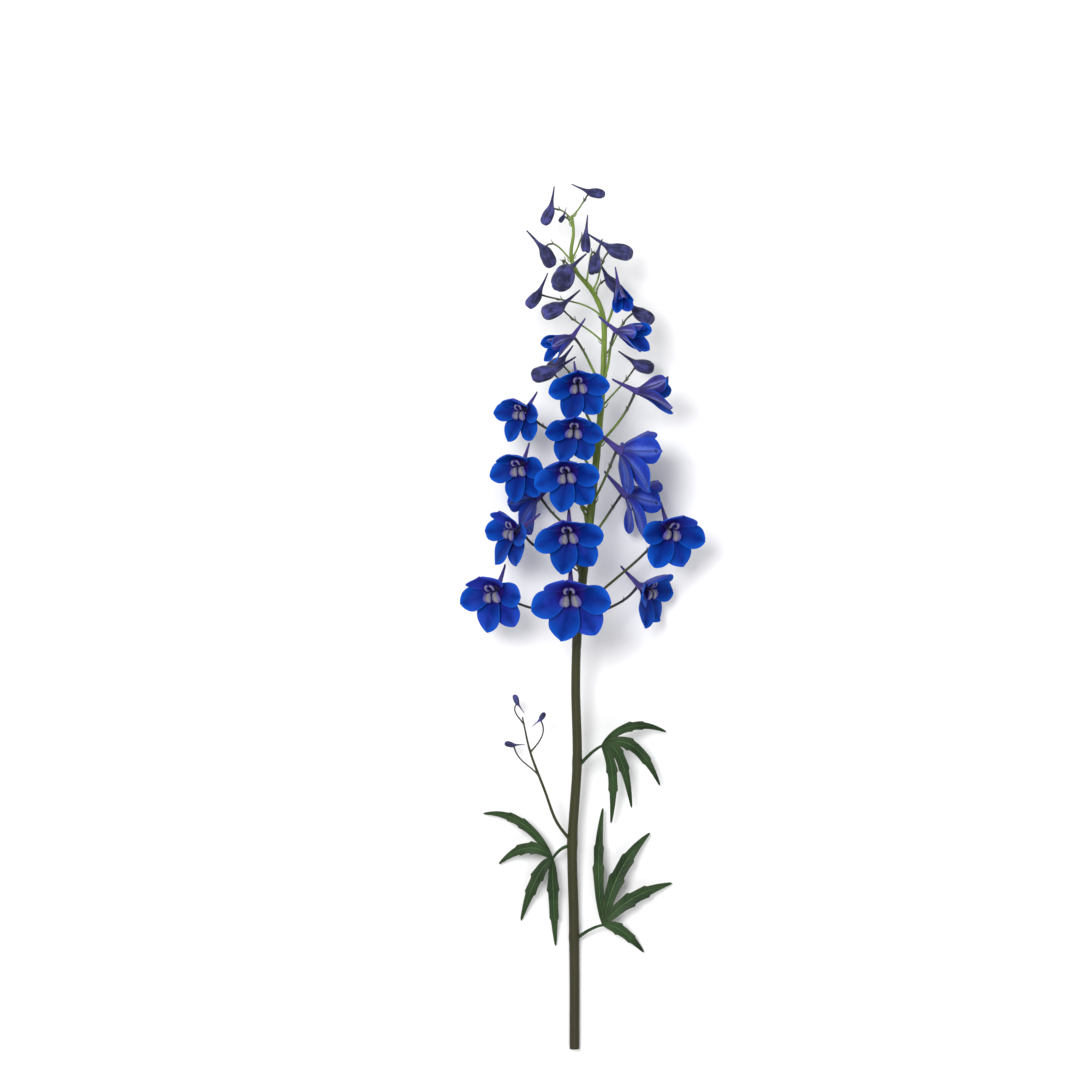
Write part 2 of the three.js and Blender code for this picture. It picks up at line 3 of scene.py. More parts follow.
import bpy
import numpy as np
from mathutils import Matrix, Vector


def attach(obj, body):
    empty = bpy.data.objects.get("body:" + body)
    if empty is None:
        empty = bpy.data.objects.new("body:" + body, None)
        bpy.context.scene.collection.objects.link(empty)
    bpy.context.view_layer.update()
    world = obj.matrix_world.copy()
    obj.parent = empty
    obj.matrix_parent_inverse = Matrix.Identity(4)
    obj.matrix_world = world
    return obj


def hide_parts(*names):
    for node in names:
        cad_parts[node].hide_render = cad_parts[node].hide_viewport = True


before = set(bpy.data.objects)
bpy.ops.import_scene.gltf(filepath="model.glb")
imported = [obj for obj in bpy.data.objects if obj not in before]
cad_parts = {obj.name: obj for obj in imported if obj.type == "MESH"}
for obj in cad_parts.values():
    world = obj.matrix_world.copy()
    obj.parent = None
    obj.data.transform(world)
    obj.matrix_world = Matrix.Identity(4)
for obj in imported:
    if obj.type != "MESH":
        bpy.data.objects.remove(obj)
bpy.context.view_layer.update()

# ---- Main stem ---------------------------------------------------------------------------------
# One grown stem, round and faintly ribbed, hollow inside and cut straight across at its foot. It
# lies flat for its first few centimetres and then climbs gently to the spike of flowers.

MM = 0.001
CUT_END = -25.0
FOOT_RADIUS = 3.2
FOOT_HEIGHT = 3.14
STEM_SIDES = 28
# The cut foot: its rind, its wall, and the pale hollow inside them.
RIND = 0.35
WALL = 0.75
HOLLOW_DEPTH = 9
HOLLOW_RADIUS = 2.7
# Centre line and radius, in millimetres.
STEM_STATIONS = [
    [0, CUT_END, FOOT_HEIGHT, FOOT_RADIUS],
    [0, -9, FOOT_HEIGHT, FOOT_RADIUS],
    [0, 20, FOOT_HEIGHT, FOOT_RADIUS],
    [-0.5, 60, 5.4, 3.2],
    [-1.5, 106, 10.5, 3.1],
    [1.5, 158, 18, 3.0],
    [0.5, 204, 25, 2.9],
    [1.5, 240, 30, 2.75],
    [5.0, 275, 33.5, 2.6],
    [9.5, 312, 35.5, 2.45],
    [13.5, 350, 37, 2.2],
    [16.5, 384, 37.5, 1.95],
    [18.0, 412, 38, 1.75],
    [17.5, 437, 38.5, 1.55],
    [10.0, 454, 39, 1.4],
    [1.5, 464, 39.5, 1.3],
    [-2.5, 475, 40, 1.15],
    [-1.0, 489, 40.5, 0.95],
    [-2.0, 500, 41, 0.75],
]
# Heights at which a flower stalk leaves the stem, which swells a little there.
STEM_JOINTS = [46, 104, 108, 157, 234, 242, 252, 270, 278, 295, 307, 314, 320, 337, 350, 361,
               380, 394, 412, 430, 446, 455, 472, 497]
JOINT_SWELL = 0.09
JOINT_LENGTH = 3.2


def unit(vectors):
    vectors = np.asarray(vectors, float)
    return vectors / np.linalg.norm(vectors, axis=-1, keepdims=True)


def through(stations, steps):
    """A smooth line through the stations, with steps points to each; every column is smoothed."""
    s = np.array(stations, float)
    ends = np.vstack([2 * s[0] - s[1], s, 2 * s[-1] - s[-2]])
    t = (np.arange(steps) / steps)[:, None]
    rows = []
    for a, b, c, d in zip(ends, ends[1:], ends[2:], ends[3:]):
        cubic = (3 * b - a - 3 * c + d) * t**3 + (2 * a - 5 * b + 4 * c - d) * t**2
        rows.append(0.5 * (cubic + (c - a) * t + 2 * b))
    return np.vstack([*rows, s[-1:]])


def sheet(name, columns, rows, place):
    """A flat grid whose points go where place(u, v) says; its UV map keeps u and v."""
    bpy.ops.object.select_all(action="DESELECT")
    bpy.ops.mesh.primitive_grid_add(x_subdivisions=columns, y_subdivisions=rows)
    piece = bpy.context.active_object
    piece.name = name
    flat = np.empty((len(piece.data.vertices), 3))
    piece.data.vertices.foreach_get("co", flat.ravel())
    u, v = (flat[:, :2].T + 1) / 2
    piece.data.vertices.foreach_set("co", (place(u, v) * MM).ravel())
    piece.data.update()
    return piece


def edit(piece, *steps):
    """Runs edit-mode operators on all of a piece."""
    bpy.ops.object.select_all(action="DESELECT")
    piece.select_set(True)
    bpy.context.view_layer.objects.active = piece
    bpy.ops.object.mode_set(mode="EDIT")
    bpy.ops.mesh.select_all(action="SELECT")
    for step in steps:
        step()
    bpy.ops.object.mode_set(mode="OBJECT")


def merge_doubles():
    bpy.ops.mesh.remove_doubles(threshold=1e-6)


def rod(name, line, sides, section=None, open_foot=False):
    """A sheet rolled up round a line of x, y, z and radius, and drawn to a point at its ends.
    section(angle, v) gives the share of the radius round the rod."""
    line = np.asarray(line, float)
    shut = [np.append(line[-1, :3], 0)]
    line = np.vstack([line, shut] if open_foot else [np.append(line[0, :3], 0), line, shut])
    along = np.gradient(line[:, :3], axis=0)
    along[0], along[-1] = along[1], along[-2]
    along = unit(along)
    side = np.empty_like(along)
    side[0] = unit(np.cross(along[0], [0.31, 0.17, 0.94]))
    for k in range(1, len(line)):
        side[k] = unit(side[k - 1] - np.dot(side[k - 1], along[k]) * along[k])
    over = np.cross(along, side)
    last = len(line) - 1

    def place(u, v):
        k = np.rint(v * last).astype(int)
        angle = 2 * math.pi * u
        radius = line[k, 3] * (section(angle, v) if section else 1)
        round_it = np.cos(angle)[:, None] * side[k] + np.sin(angle)[:, None] * over[k]
        return line[k, :3] + radius[:, None] * round_it

    piece = sheet(name, sides, last, place)
    edit(piece, merge_doubles)
    return piece


def ribs(angle, v):
    return 1 + 0.02 * np.cos(6 * angle) + 0.012 * np.cos(13 * angle + 9 * v)


stem_line = through(STEM_STATIONS, 9)
for height in STEM_JOINTS:
    from_joint = (stem_line[:, 1] - height) / JOINT_LENGTH
    stem_line[:, 3] *= 1 + JOINT_SWELL * np.exp(-(from_joint**2))
stem = rod("stem_and_stalks", stem_line, STEM_SIDES, ribs, open_foot=True)

# The foot is cut across: a wall of green tissue round the hollow middle.
for vertex in stem.data.vertices:
    vertex.co.z = max(vertex.co.z, 0)
edit(stem, lambda: bpy.ops.mesh.select_all(action="DESELECT"))
for vertex in stem.data.vertices:
    vertex.select = vertex.co.y < (CUT_END + 0.1) * MM
bpy.ops.object.mode_set(mode="EDIT")
bpy.ops.mesh.edge_face_add()
bpy.ops.mesh.inset(thickness=RIND * MM)
bpy.ops.mesh.inset(thickness=WALL * MM)
bpy.ops.mesh.extrude_region_move(TRANSFORM_OT_translate={"value": (0, HOLLOW_DEPTH * MM, 0)})
bpy.ops.object.mode_set(mode="OBJECT")


def stem_point(height):
    """The middle of the stem at a height, and its radius there."""
    return np.array([np.interp(height, stem_line[:, 1], stem_line[:, c]) for c in (0, 1, 2, 3)])


class Wire:
    """A socket of a finish; sums written on wires become Math nodes."""

    def __init__(self, finish, socket):
        self.finish = finish
        self.socket = socket

    def sum(self, operation, first, second=0.0):
        return self.finish.node("ShaderNodeMath", {"operation": operation}, {0: first, 1: second})

    def __add__(self, other):
        return self.sum("ADD", self, other)

    def __sub__(self, other):
        return self.sum("SUBTRACT", self, other)

    def __rsub__(self, other):
        return self.sum("SUBTRACT", other, self)

    def __mul__(self, other):
        return self.sum("MULTIPLY", self, other)

    def __abs__(self):
        return self.sum("ABSOLUTE", self)

    __radd__ = __add__
    __rmul__ = __mul__


class Finish:
    """A material being mixed: a Principled shader, and one method that adds any other node."""

    def __init__(self, name, **constants):
        self.material = bpy.data.materials.new(name)
        self.material.use_nodes = True
        self.tree = self.material.node_tree
        self.shader = self.tree.nodes["Principled BSDF"]
        for socket, value in constants.items():
            self.shader.inputs[socket.replace("_", " ")].default_value = value

    def node(self, kind, settings, inputs, output=0):
        node = self.tree.nodes.new(kind)
        for name, value in settings.items():
            setattr(node, name, value)
        for name, value in inputs.items():
            if isinstance(value, Wire):
                self.tree.links.new(value.socket, node.inputs[name])
            else:
                node.inputs[name].default_value = value
        return Wire(self, node.outputs[output])

    def place(self):
        """Where a point is on the object."""
        return self.node("ShaderNodeTexCoord", {}, {}, "Object")

    def uv(self):
        """How far across and along its sheet a point is, each from 0 to 1."""
        both = self.node("ShaderNodeUVMap", {}, {}, "UV")
        return [self.node("ShaderNodeSeparateXYZ", {}, {0: both}, axis) for axis in "XY"]

    def attribute(self, name):
        return self.node("ShaderNodeAttribute", {"attribute_name": name}, {}, "Fac")

    def point(self, x, y):
        return self.node("ShaderNodeCombineXYZ", {}, {0: x, 1: y})

    def noise(self, where, scale, detail=3.0):
        inputs = {"Vector": where, "Scale": scale, "Detail": detail}
        return self.node("ShaderNodeTexNoise", {}, inputs)

    def smooth(self, value, low, high):
        """0 at low and 1 at high, with a soft change between; low may be the larger one."""
        settings = {"interpolation_type": "SMOOTHSTEP"}
        return self.node("ShaderNodeMapRange", settings, {0: value, 1: low, 2: high})

    def mix(self, share, first, second):
        return self.node("ShaderNodeMix", {"data_type": "RGBA"}, {0: share, 6: first, 7: second}, 2)

    def bump(self, height, depth_mm, strength=1.0):
        inputs = {"Height": height, "Distance": depth_mm * MM, "Strength": strength}
        return self.node("ShaderNodeBump", {}, inputs)

    def surface(self, **inputs):
        for name, wire in inputs.items():
            self.tree.links.new(wire.socket, self.shader.inputs[name.replace("_", " ")])


def shade(code):
    """The linear values that a shader takes, of a colour on a screen written in hexadecimal."""
    parts = [int(code[i : i + 2], 16) / 255 for i in (0, 2, 4)]
    return [c / 12.92 if c < 0.04045 else ((c + 0.055) / 1.055) ** 2.4 for c in parts] + [1]


# Green tissue: yellow green among the flowers, browner and darker down to the foot, and turning
# dark purple out along the flower stalks.
green = Finish("green tissue", Roughness=0.5, Specular_IOR_Level=0.25, Sheen_Weight=0.03)
where = green.place()
height = green.node("ShaderNodeSeparateXYZ", {}, {0: where}, "Y")
blotches = green.noise(where, 45)
drawn_out = green.node("ShaderNodeMapping", {}, {"Vector": where, "Scale": (1, 0.06, 1)})
grain = green.noise(drawn_out, 900)
colour = green.mix(blotches, shade("5f7a2c"), shade("7f9640"))
brown = green.smooth(height + blotches * 0.08, 0.42, 0.29)
colour = green.mix(brown * 0.93, colour, shade("2c2618"))
dark_foot = green.smooth(height + blotches * 0.1, 0.16, -0.02)
colour = green.mix(dark_foot * 0.8, colour, shade("32281f"))
purple = green.smooth(green.attribute("away") + blotches * 0.35, 0.45, 1.15)
colour = green.mix(purple * 0.95, colour, shade("2a2038"))
colour = green.mix(green.smooth(grain, 0.42, 0.68) * 0.45, colour, shade("2a2e18"))
green.surface(Base_Color=colour, Normal=green.bump(grain, 0.12, 0.6))
stem.data.materials.append(green.material)

pith = Finish("pith", Roughness=0.8)
pale = pith.mix(pith.noise(pith.place(), 1500), shade("c3cc96"), shade("e3e6c8"))
pith.surface(Base_Color=pale)
stem.data.materials.append(pith.material)
for face in stem.data.polygons:
    middle = face.center / MM
    inside = math.hypot(middle.x, middle.z - FOOT_HEIGHT) < HOLLOW_RADIUS
    if inside and middle.y < CUT_END + HOLLOW_DEPTH + 0.2:
        face.material_index = 1

# ---- Leaves ------------------------------------------------------------------------------------
# Each leaf is a thin dark green blade, cut to the palm into narrow lobes with a few teeth, a sunken
# midrib and feathered veins. It stands on a slim stalk that grows out of the stem.

LEAF_THICKNESS = 0.4
LEAF_FOLD = 0.32
LEAF_ROOT = 4.2
LEAF_SEAT = 1.4
LEAF_STALK = (1.15, 0.85)
LOBE_NECK = 0.45
MIDRIB_DEPTH = 0.22
MIDRIB_WIDTH = 0.16
SIDE_VEINS = 26
VEIN_SLANT = 3.2
VEIN_RELIEF = 0.05
TOOTH_LENGTH = 0.16
TOOTH_SWELL = 0.3
TOOTH_END = 0.025
LEAVES = [
    {
        "from": 157,
        "palm": [17, 168, 21],
        "lobes": [
            {"through": [30, 174, 24], "tip": [36, 128, 9], "width": 3.2},
            {"through": [27, 160, 24], "tip": [23, 118, 7], "width": 3.0},
            {"through": [38, 180, 22], "tip": [54, 142, 8], "width": 3.4},
            {"through": [34, 188, 18], "tip": [58, 176, 6], "width": 2.6},
        ],
    },
    {
        "from": 104,
        "palm": [-14, 96, 10],
        "lobes": [
            {"through": [-28, 112, 16], "tip": [-48, 92, 2], "width": 3.4},
            {"through": [-24, 92, 14], "tip": [-34, 56, 1.5], "width": 3.6},
            {"through": [-14, 78, 11], "tip": [-12, 40, 1.5], "width": 3.2},
            {"through": [-32, 128, 15], "tip": [-58, 124, 3], "width": 2.8},
        ],
    },
    {
        "from": 46,
        "palm": [18, 54, 8],
        "lobes": [
            {"through": [24, 92, 14], "tip": [48, 112, 3], "width": 4.2},
            {"through": [32, 74, 13], "tip": [62, 80, 2], "width": 4.0},
            {"through": [28, 56, 11], "tip": [44, 36, 1.5], "width": 3.4},
            {"through": [12, 92, 13], "tip": [18, 128, 5], "width": 3.0},
        ],
    },
]


def arc(bends, steps):
    """A Bezier line with three or four control points."""
    t = np.linspace(0, 1, steps + 1)[:, None]
    last = len(bends) - 1
    return sum(
        math.comb(last, i) * t**i * (1 - t) ** (last - i) * np.asarray(bend, float)
        for i, bend in enumerate(bends)
    )


def blade(name, line, widths, columns, across=None, fold=0.0, relief=None):
    """A sheet along a line, with its half width at each of the line's points."""
    along = unit(np.gradient(line, axis=0))
    crosswise = unit(np.cross(along, [0, 0, 1])) if across is None else unit(across)[None, :]
    crosswise = np.broadcast_to(crosswise, along.shape)
    normal = unit(np.cross(crosswise, along))
    last = len(line) - 1

    def place(u, v):
        k = np.rint(v * last).astype(int)
        offset = (2 * u - 1) * widths[k]
        rise = fold * np.abs(offset) + (relief(u, v) if relief else 0)
        return line[k] + offset[:, None] * crosswise[k] + rise[:, None] * normal[k]

    return sheet(name, columns, last, place)


def thicken(piece, thickness, back_slot=0):
    """Gives a sheet its wall; the back of it may take the next material."""
    bpy.context.view_layer.objects.active = piece
    wall = piece.modifiers.new("wall", "SOLIDIFY")
    wall.thickness = thickness * MM
    wall.offset = 0
    wall.material_offset = back_slot
    bpy.ops.object.modifier_apply(modifier=wall.name)


def join(name, pieces):
    bpy.ops.object.select_all(action="DESELECT")
    for piece in pieces:
        piece.select_set(True)
    bpy.context.view_layer.objects.active = pieces[0]
    bpy.ops.object.join()
    bpy.ops.object.shade_smooth()
    pieces[0].name = name
    return pieces[0]


def settle(piece, node):
    """The piece takes the place of a node of the frame."""
    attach(piece, "root")
    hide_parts(node)


def lobe(palm, shape, number):
    line = arc([palm, shape["through"], shape["tip"]], 60)
    t = np.linspace(0, 1, len(line))
    bulge = np.sin(math.pi * t**0.8) ** 0.85
    widths = LOBE_NECK + (shape["width"] - LOBE_NECK) * bulge
    for tooth in (0.44 + 0.05 * (number % 2), 0.66 + 0.04 * (number % 3)):
        swell = np.clip((t - tooth) / TOOTH_LENGTH + 1, 0, 1)
        step = np.clip((tooth + TOOTH_END - t) / TOOTH_END, 0, 1)
        widths *= 1 + TOOTH_SWELL * swell**2 * step
    widths[-1] = 0.02

    def relief(u, v):
        outwards = np.abs(2 * u - 1)
        veins = np.sin((v * SIDE_VEINS - outwards * VEIN_SLANT) * math.pi)
        groove = MIDRIB_DEPTH * np.exp(-((outwards / MIDRIB_WIDTH) ** 2))
        return VEIN_RELIEF * veins * outwards * (1 - v) - groove

    return blade("lobe", line, widths, 16, fold=LEAF_FOLD, relief=relief)


leafy = Finish("leaf green", Roughness=0.55, Specular_IOR_Level=0.2, Sheen_Weight=0.05)
across, along = leafy.uv()
middle = abs(across - 0.5) * 2
where = leafy.place()
cloud = leafy.noise(where, 60)
slanted = (along * SIDE_VEINS - middle * VEIN_SLANT) * math.pi
feather = leafy.node("ShaderNodeMath", {"operation": "SINE"}, {0: slanted})
colour = leafy.mix(leafy.smooth(cloud, 0.3, 0.7), shade("172a12"), shade("2c4424"))
colour = leafy.mix(leafy.smooth(feather, 0.6, 1) * 0.2, colour, shade("4a6440"))
colour = leafy.mix(leafy.smooth(middle, 0.12, 0.03) * 0.5, colour, shade("5c7848"))
colour = leafy.mix(leafy.smooth(middle + cloud * 0.3, 0.98, 1.2) * 0.5, colour, shade("463e28"))
fine = leafy.noise(where, 1800)
leafy.surface(Base_Color=colour, Normal=leafy.bump(fine + feather * 0.4, 0.08, 0.6))

for number, kind in enumerate(LEAVES, 1):
    root = stem_point(kind["from"])[:3]
    end = np.array(kind["palm"], float)
    outwards = unit((end - root) * [1, 0, 1])
    start = root + outwards * (LEAF_ROOT - LEAF_SEAT)
    bend = (root + outwards * LEAF_ROOT + end) / 2 + [0, 3, 2]
    line = arc([start, bend, end], 24)
    radii = np.linspace(*LEAF_STALK, len(line))[:, None]
    blades = [lobe(line[-1], shape, i) for i, shape in enumerate(kind["lobes"])]
    leaf = join("leaf_blades", blades)
    thicken(leaf, LEAF_THICKNESS)
    leaf_stalk = rod("leaf_stalk", np.hstack([line, radii]), 12)
    leaf = join(f"cut_leaf_{number:02d}", [leaf, leaf_stalk])
    leaf.data.materials.append(leafy.material)
    settle(leaf, f"leaf_{number:02d}")

# ---- Blooms ------------------------------------------------------------------------------------
# Five broad sepals grow from a small receptacle, the top one as a hood that leans forwards, and a
# slim spur runs back from it. They are thin and cobalt blue, flushed with violet; their deep roots
# and azure tips and edges are partly their own colour and partly painted shade and light, with a
# thin painted highlight along the margins. The backs are violet blue, with a pale middle and a dark
# midrib that ends in a spot.

# Each flower: its throat, the way that it faces, its roll, its size, how far it is open, and the
# height at which its stalk leaves the stem.
FLOWER_KEYS = ("at", "face", "roll", "scale", "open", "from")
BLOOM_ROWS = [
    [[-3, 266, 63], [-0.06, -0.46, 1], 5, 1.04, 1, 234],
    [[-4, 304, 63], [-0.1, -0.46, 1], 8, 0.91, 0.97, 270],
    [[-5, 341, 64], [-0.12, -0.46, 1], 8, 0.86, 0.97, 307],
    [[-1, 368, 62], [0, -0.42, 1], -4, 0.76, 0.93, 337],
    [[1, 395.4, 63.9], [0.08, -0.36, 1], 6, 0.8, 0.93, 361],
    [[-49, 267, 36], [-0.5, -0.42, 1], 5, 0.92, 0.97, 241],
    [[-35, 304, 42], [-1, -0.1, 0.8], -8, 0.86, 0.94, 278],
    [[-33, 345, 44], [-0.5, -0.44, 1], 6, 0.8, 0.95, 314],
    [[-31, 379, 43], [-0.72, -0.34, 1], -4, 0.74, 0.88, 350],
    [[58, 306, 38], [0.42, -0.44, 1], -6, 0.9, 0.97, 252],
    [[42, 268, 23], [1, -0.3, 0.5], 6, 0.88, 0.94, 242],
    [[28.5, 353, 53], [0.82, -0.12, -0.5], -8, 1.04, 0.9, 320],
    [[-24, 324, 22.04], [-1, -0.2, -0.4], 0, 0.84, 0.92, 294],
    [[32.5, 326, 26.47], [0.9, -0.25, -0.42], 4, 0.98, 0.88, 296],
]
BLOOMS = [dict(zip(FLOWER_KEYS, row)) for row in BLOOM_ROWS]
SEPAL_LENGTH = 25
SEPAL_THICKNESS = 0.42
HUB_RADIUS = 2.4
# Degrees that the root and the tip of a sepal lean out, of a closed flower and an open one.
ROOT_LEAN = (88, 50)
TIP_LEAN = (98, 6)
CLOSED_WIDTH = 0.6
# How the sheets lap, wrap and wave: millimetres on a flower of size 1, or plain shares.
LAP_STEP = 0.3
LAP = 0.19
MOST_WRAP = 0.9
OPENS_LATE = 3
SHARPEST_CONE = 0.12
FULLNESS = 1.78
TIP_SHARPNESS = 0.9985
RIPPLE = 0.025
EDGE_WAVE = 0.7
FACE_WAVE = 0.32
MIDRIB_GROOVE = 0.3
GROOVE_WIDTH = 0.9
TIP_NIB = 0.25
NIB_WIDTH = 0.22
TIP_CURL = (-0.5, 1.0)
CURL_START = 0.82
CURL_LENGTH = 0.18
FLUSH_SPREAD = (-0.15, 0.25)
# Each sepal: the angle round a closed flower and an open one, half widths of the blade and its
# root, edges in front (1) or behind (-1), forward lean at root and tip, length, taper to the tip,
# flatness and violet flush.
SEPAL_KEYS = (
    "closed", "angle", "width", "root", "laps", "lean", "length", "taper", "flat", "flush"
)
SEPAL_ROWS = [
    [-126, -107, 9.2, 0.9, [-1, 1], [-5, -5], 1.15, 0.72, 1, 0.0],
    [-54, -61, 9.2, 1.0, [-1, -1], [-5, -5], 1.12, 0.62, 1, 0.12],
    [18, -10, 8.0, 1.25, [1, -1], [0, 0], 1.03, 0.6, 1, 0.0],
    [90, 90, 12.8, 1.7, [0.7, 0.7], [-6, 58], 0.9, 0.4, 5, 0.28],
    [162, 193, 8.0, 1.25, [-1, 1], [0, 0], 1.0, 0.65, 1, 0],
]
SEPALS = [dict(zip(SEPAL_KEYS, row)) for row in SEPAL_ROWS]
SPUR = [
    [0, 0, 1.3, 1.9],
    [0, 0.1, -0.3, 3.2],
    [0, 0.9, -3.2, 2.25],
    [0, 3.4, -7.6, 1.65],
    [0, 6.4, -13, 1.15],
    [0, 9.0, -17.4, 0.8],
    [0, 10.2, -19, 0.62],
    [0, 10.6, -19.4, 0.3],
]
SPUR_FOLDS = 0.07
SPUR_FLUSH = 0.5
chance = np.random.default_rng(31)


def flower_axes(flower):
    """The flower's right, its up towards its spur, and the way that it faces."""
    front = unit(flower["face"])
    up = unit(np.array([0, 1, 0]) - front[1] * front)
    side = np.cross(up, front)
    roll = math.radians(flower["roll"])
    right = side * math.cos(roll) + up * math.sin(roll)
    return np.array([right, np.cross(front, right), front])


def on_spike(flower, points):
    """Points of a flower's own frame, in millimetres, where they are on the spike."""
    return np.asarray(points) @ flower_axes(flower) + flower["at"]


def lerp(low, high, share):
    return low + (high - low) * share


def sepal(flower, kind):
    """One sepal: bent outwards from its root to its tip, and wrapped round the cone on which all
    five lie, with each edge in front of or behind its neighbour's."""
    scale, opened = flower["scale"], flower["open"]
    full = SEPAL_LENGTH * scale * kind["length"]
    half_width = kind["width"] * scale * lerp(CLOSED_WIDTH, 1, opened)
    root_lean = math.radians(lerp(*ROOT_LEAN, opened) + kind["lean"][0] * opened)
    tip_lean = math.radians(lerp(*TIP_LEAN, opened) + kind["lean"][1] * opened)
    bend = tip_lean - root_lean
    late = opened**OPENS_LATE
    turn = math.radians(lerp(kind["closed"], kind["angle"], late))
    out = np.array([math.cos(turn), math.sin(turn), 0])
    across = np.array([-math.sin(turn), math.cos(turn), 0])
    hub = HUB_RADIUS * math.sqrt(scale)
    wave, wave_2, twist = chance.uniform(0, 2 * math.pi, 3)
    curl = chance.uniform(*TIP_CURL)

    def place(u, v):
        side = 1 - 2 * u
        t = np.sin(v * math.pi / 2)
        slope = root_lean + bend * t
        radius = hub + full * (np.sin(slope) - math.sin(root_lean)) / bend
        height = -full * (np.cos(slope) - math.cos(root_lean)) / bend
        normal = np.cos(slope)[:, None] * [0, 0, 1] - np.sin(slope)[:, None] * out
        flatness = 1 + (kind["flat"] - 1) * late**2 * t
        wrap = flatness * radius / np.maximum(np.sin(slope), SHARPEST_CONE)
        outline = FULLNESS * t**0.62 * (1 - TIP_SHARPNESS * t**2.5) ** kind["taper"]
        ripple = 1 + RIPPLE * np.sin(9 * t + wave) * t
        half = kind["root"] * scale * (1 - t) ** 6 + half_width * outline * ripple
        offset = side * np.minimum(half, MOST_WRAP * wrap)
        around = offset / wrap
        facing = np.cos(around)[:, None] * normal - np.sin(around)[:, None] * across
        reach = np.abs(offset)
        front = np.where(side < 0, kind["laps"][0], kind["laps"][1])
        lift = (LAP * reach + LAP_STEP * (1 - np.exp(-reach))) * front
        edge = np.abs(side) ** 2 * np.minimum(1, 2 * t)
        lift += EDGE_WAVE * scale * edge * np.sin(7.5 * t + wave * np.sign(side) + wave_2)
        lift += FACE_WAVE * scale * t * np.sin(5 * side + 6 * t + twist)
        groove = MIDRIB_GROOVE * scale * np.exp(-((offset / (GROOVE_WIDTH * scale)) ** 2))
        lift -= groove * (1 - t * 0.7) * np.minimum(1, 4 * t)
        lift += curl * scale * np.clip((t - CURL_START) / CURL_LENGTH, 0, 1) ** 2
        point = radius[:, None] * out + height[:, None] * [0, 0, 1]
        point += (wrap * np.sin(around))[:, None] * across
        point += (wrap * (1 - np.cos(around)))[:, None] * normal
        tip = TIP_NIB * scale * np.exp(-((side / NIB_WIDTH) ** 2)) * t**14
        point += tip[:, None] * (np.cos(slope)[:, None] * out + np.sin(slope)[:, None] * [0, 0, 1])
        return on_spike(flower, point + lift[:, None] * facing)

    return sheet("sepal", 30, 34, place)


def tint(piece, name, value):
    """Marks all of a piece with one number that its finish reads."""
    marks = piece.data.attributes.new(name, "FLOAT", "POINT")
    marks.data.foreach_set("value", np.full(len(piece.data.vertices), value, np.float32))


def corolla(name, flower, face, back, spur_finish):
    """The five sepals of a flower and the spur behind them, as one piece."""
    sepals = []
    flower_flush = chance.uniform(*FLUSH_SPREAD)
    for kind in SEPALS:
        one = sepal(flower, kind)
        tint(one, "flush", kind["flush"] + flower_flush)
        one.data.materials.append(face)
        one.data.materials.append(back)
        sepals.append(one)
    sheets = join(name, sepals)
    thicken(sheets, SEPAL_THICKNESS, back_slot=1)
    line = through(np.array(SPUR) * flower["scale"], 5)
    line[:, :3] = on_spike(flower, line[:, :3])
    spur = rod("spur", line, 16, lambda angle, v: 1 + SPUR_FOLDS * np.cos(5 * angle + 3 * v))
    tint(spur, "flush", SPUR_FLUSH + flower_flush)
    spur.data.materials.append(spur_finish)
    return join(name, [sheets, spur])


def petal_streaks(finish, across, along):
    """Fine veins that run the length of a petal and fan out with it."""
    line = finish.point((across - 0.5) * 22, along * 1.6)
    return finish.noise(line, 1.0, 4.0)


petal_face = Finish("sepal face", Roughness=0.6, Specular_IOR_Level=0.06)
across, along = petal_face.uv()
middle = abs(across - 0.5) * 2
where = petal_face.place()
flush = petal_face.attribute("flush")
cloud = petal_face.noise(where, 55)
streak = petal_streaks(petal_face, across, along)
mottle = petal_face.noise(where, 260, 4.0)
# Deep blue at the root to azure at the tips and edges: partly the sepal's own colour, partly
# painted shade and light.
outer = petal_face.smooth(along * 0.75 + middle * 0.35 + cloud * 0.4 + mottle * 0.2, 0.5, 1.35)
colour = petal_face.mix(outer, shade("011e72"), shade("0551bd"))
# A brighter azure rim: partly the sepal's own colour, partly a painted highlight.
rim = petal_face.smooth(along * 0.7 + middle * 0.45 + cloud * 0.35, 1.0, 1.3)
colour = petal_face.mix(rim * 0.7, colour, shade("0764d6"))
violet = petal_face.smooth(flush * 1.6 + cloud + mottle * 0.3, 0.95, 1.4)
colour = petal_face.mix(violet * 0.6, colour, shade("2e2ca4"))
colour = petal_face.mix(petal_face.smooth(along, 0.26, 0.1) * 0.9, colour, shade("2e1878"))
spot_x = (across - 0.5) * 18
spot_y = (along - 0.62) * 20
spot = petal_face.smooth(spot_x * spot_x + spot_y * spot_y + mottle * 8, 22, 2)
colour = petal_face.mix(spot * 0.45, colour, shade("01196c"))
colour = petal_face.mix(petal_face.smooth(streak, 0.48, 0.7) * 0.3, colour, shade("021a70"))
# Painted highlight: a thin bright azure line along the sepal's margins.
edge = petal_face.smooth(middle, 0.9, 1.0)
colour = petal_face.mix(edge * 0.2, colour, shade("1c74e6"))
petal_face.surface(Base_Color=colour, Normal=petal_face.bump(streak, 0.22, 0.5))

